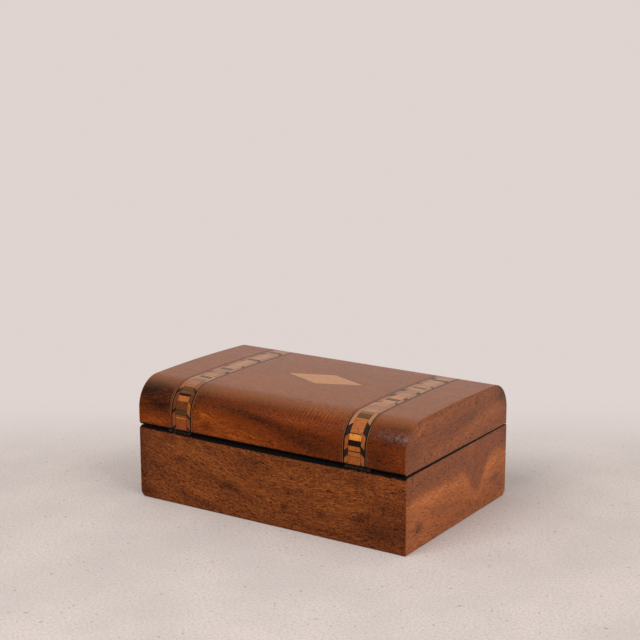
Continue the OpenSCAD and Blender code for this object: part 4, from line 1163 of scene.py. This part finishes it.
def make_floor():
    """A pale canvas floor, rings of points round the origin, that fades into the background
    away from the box."""
    turns = np.linspace(0, math.tau, 97)[:-1]
    r, t = np.meshgrid([0.3, 0.6, 0.9, 1.3, 1.8, 2.4], turns, indexing="ij")
    points = np.concatenate([np.zeros((1, 3)),
                             triple(r * np.cos(t), r * np.sin(t), 0.0).reshape(-1, 3)])
    ring = 1 + np.arange(r.size).reshape(r.shape)
    after = np.roll(ring, -1, 1)
    quads = np.stack([ring[:-1], ring[1:], after[1:], after[:-1]], -1).reshape(-1, 4)
    mesh = bpy.data.meshes.new("floor")
    mesh.from_pydata(points, [], triple(0, ring[0], after[0]).tolist() + quads.tolist())
    floor = bpy.data.objects.new("floor", mesh)
    bpy.context.scene.collection.objects.link(floor)
    n = start_material("Pale canvas", Specular_IOR_Level=0.15, Roughness=0.9)
    place = n.place()
    cloud = n.span(n.noise(place, 9.0, 4.0, 0.6), 0.3, 0.7)
    speck = n.span(n.noise(place, 420.0, 2.0, 0.7), 0.35, 0.75)
    crumb = n.span(n.noise(place + (3.0, 1.0, 0.0), 190.0, 1.0), 0.70, 0.76)
    colour = n.mix(cloud, (0.55, 0.50, 0.485), (0.63, 0.57, 0.55))
    colour = n.mix(speck * 0.75, colour, (0.44, 0.39, 0.365))
    n.feed(n.shader["Base Color"], n.mix(crumb * 0.5, colour, (0.22, 0.16, 0.12)))
    weave = n.noise(place, (900.0, 300.0), 2.0, 0.6)
    n.feed(n.shader["Normal"], n.bump(weave, 0.0004, 0.5))
    away = n.put("VectorMath", {0: place}, operation="LENGTH")[1]
    behind = n.toward(place, BACKDROP)
    n.feed(n.shader["Alpha"], n.span(away, 1.3, 0.45) * n.span(behind, 0.32, 0.04))
    mesh.materials.append(n.mat)


def make_world():
    """A plain pale surround: what the camera and reflections see is brighter than the light
    it gives the box. In reflections the backdrop's side of the room is bright and the
    camera's side dim."""
    world = bpy.data.worlds.new("Pale room")
    bpy.context.scene.world = world
    world.use_nodes = True
    n = Net(world.node_tree)
    inputs = world.node_tree.nodes["Background"].inputs
    paths = named(n.put("LightPath"))
    camera = paths["Is Camera Ray"]
    seen = n.math("MAXIMUM", camera,
                  n.math("MAXIMUM", paths["Is Glossy Ray"], paths["Is Transmission Ray"]))
    dim = n.span(n.toward(n.put("TexCoord")[0], BACKDROP), 0.5, -0.3)
    pale = n.mix(dim * (1.0 - camera), (0.735, 0.655, 0.63), (0.16, 0.15, 0.15))
    n.feed(inputs["Color"], n.mix(seen, (0.82, 0.765, 0.72), pale))
    n.feed(inputs["Strength"], seen * (1.0 - AMBIENT) + AMBIENT)


def put_up(name, data, azimuth, elevation, at=None, roll=0.0):
    """Puts up a lamp or camera that looks down at the box. An azimuth of 0 is square to the
    hinge side. If no place is given it stands LAMP_FAR from the box's middle."""
    a, e = math.radians(azimuth), math.radians(elevation)
    back = Vector((math.sin(a) * math.cos(e), -math.cos(a) * math.cos(e), math.sin(e)))
    item = bpy.data.objects.new(name, data)
    item.rotation_mode = "QUATERNION"
    item.location = at or Vector((0, 0, 0.05)) + back * LAMP_FAR
    turn = back.to_track_quat("Z", "Y").to_matrix()
    turn = turn @ Matrix.Rotation(math.radians(roll), 3, "Z")
    item.rotation_quaternion = turn.to_quaternion()
    bpy.context.scene.collection.objects.link(item)
    return item


def make_lamp(name, azimuth, elevation, size, power, tint):
    """A square soft lamp."""
    light = bpy.data.lights.new(name, "AREA")
    light.size, light.energy, light.color = size, power, tint
    put_up(name, light, azimuth, elevation)


def make_camera():
    """Looks from the hinge side, 33 degrees round to the right and 13 degrees down."""
    camera = bpy.data.cameras.new("camera")
    camera.sensor_width = SENSOR
    camera.lens = SENSOR * FOCAL / PICTURE
    camera.clip_start, camera.clip_end = 0.05, 50.0
    bpy.context.scene.camera = put_up("camera", camera, EYE_AZIMUTH, EYE_ELEVATION, EYE,
                                      EYE_ROLL)


make_floor()
make_world()
make_lamp("key", -14.0, 48.0, 1.3, 26.0, (1.0, 0.985, 0.975))
make_lamp("fill", 78.0, 38.0, 1.4, 20.0, (1.0, 0.98, 0.965))
make_camera()
bpy.context.scene.view_settings.view_transform = "Standard"
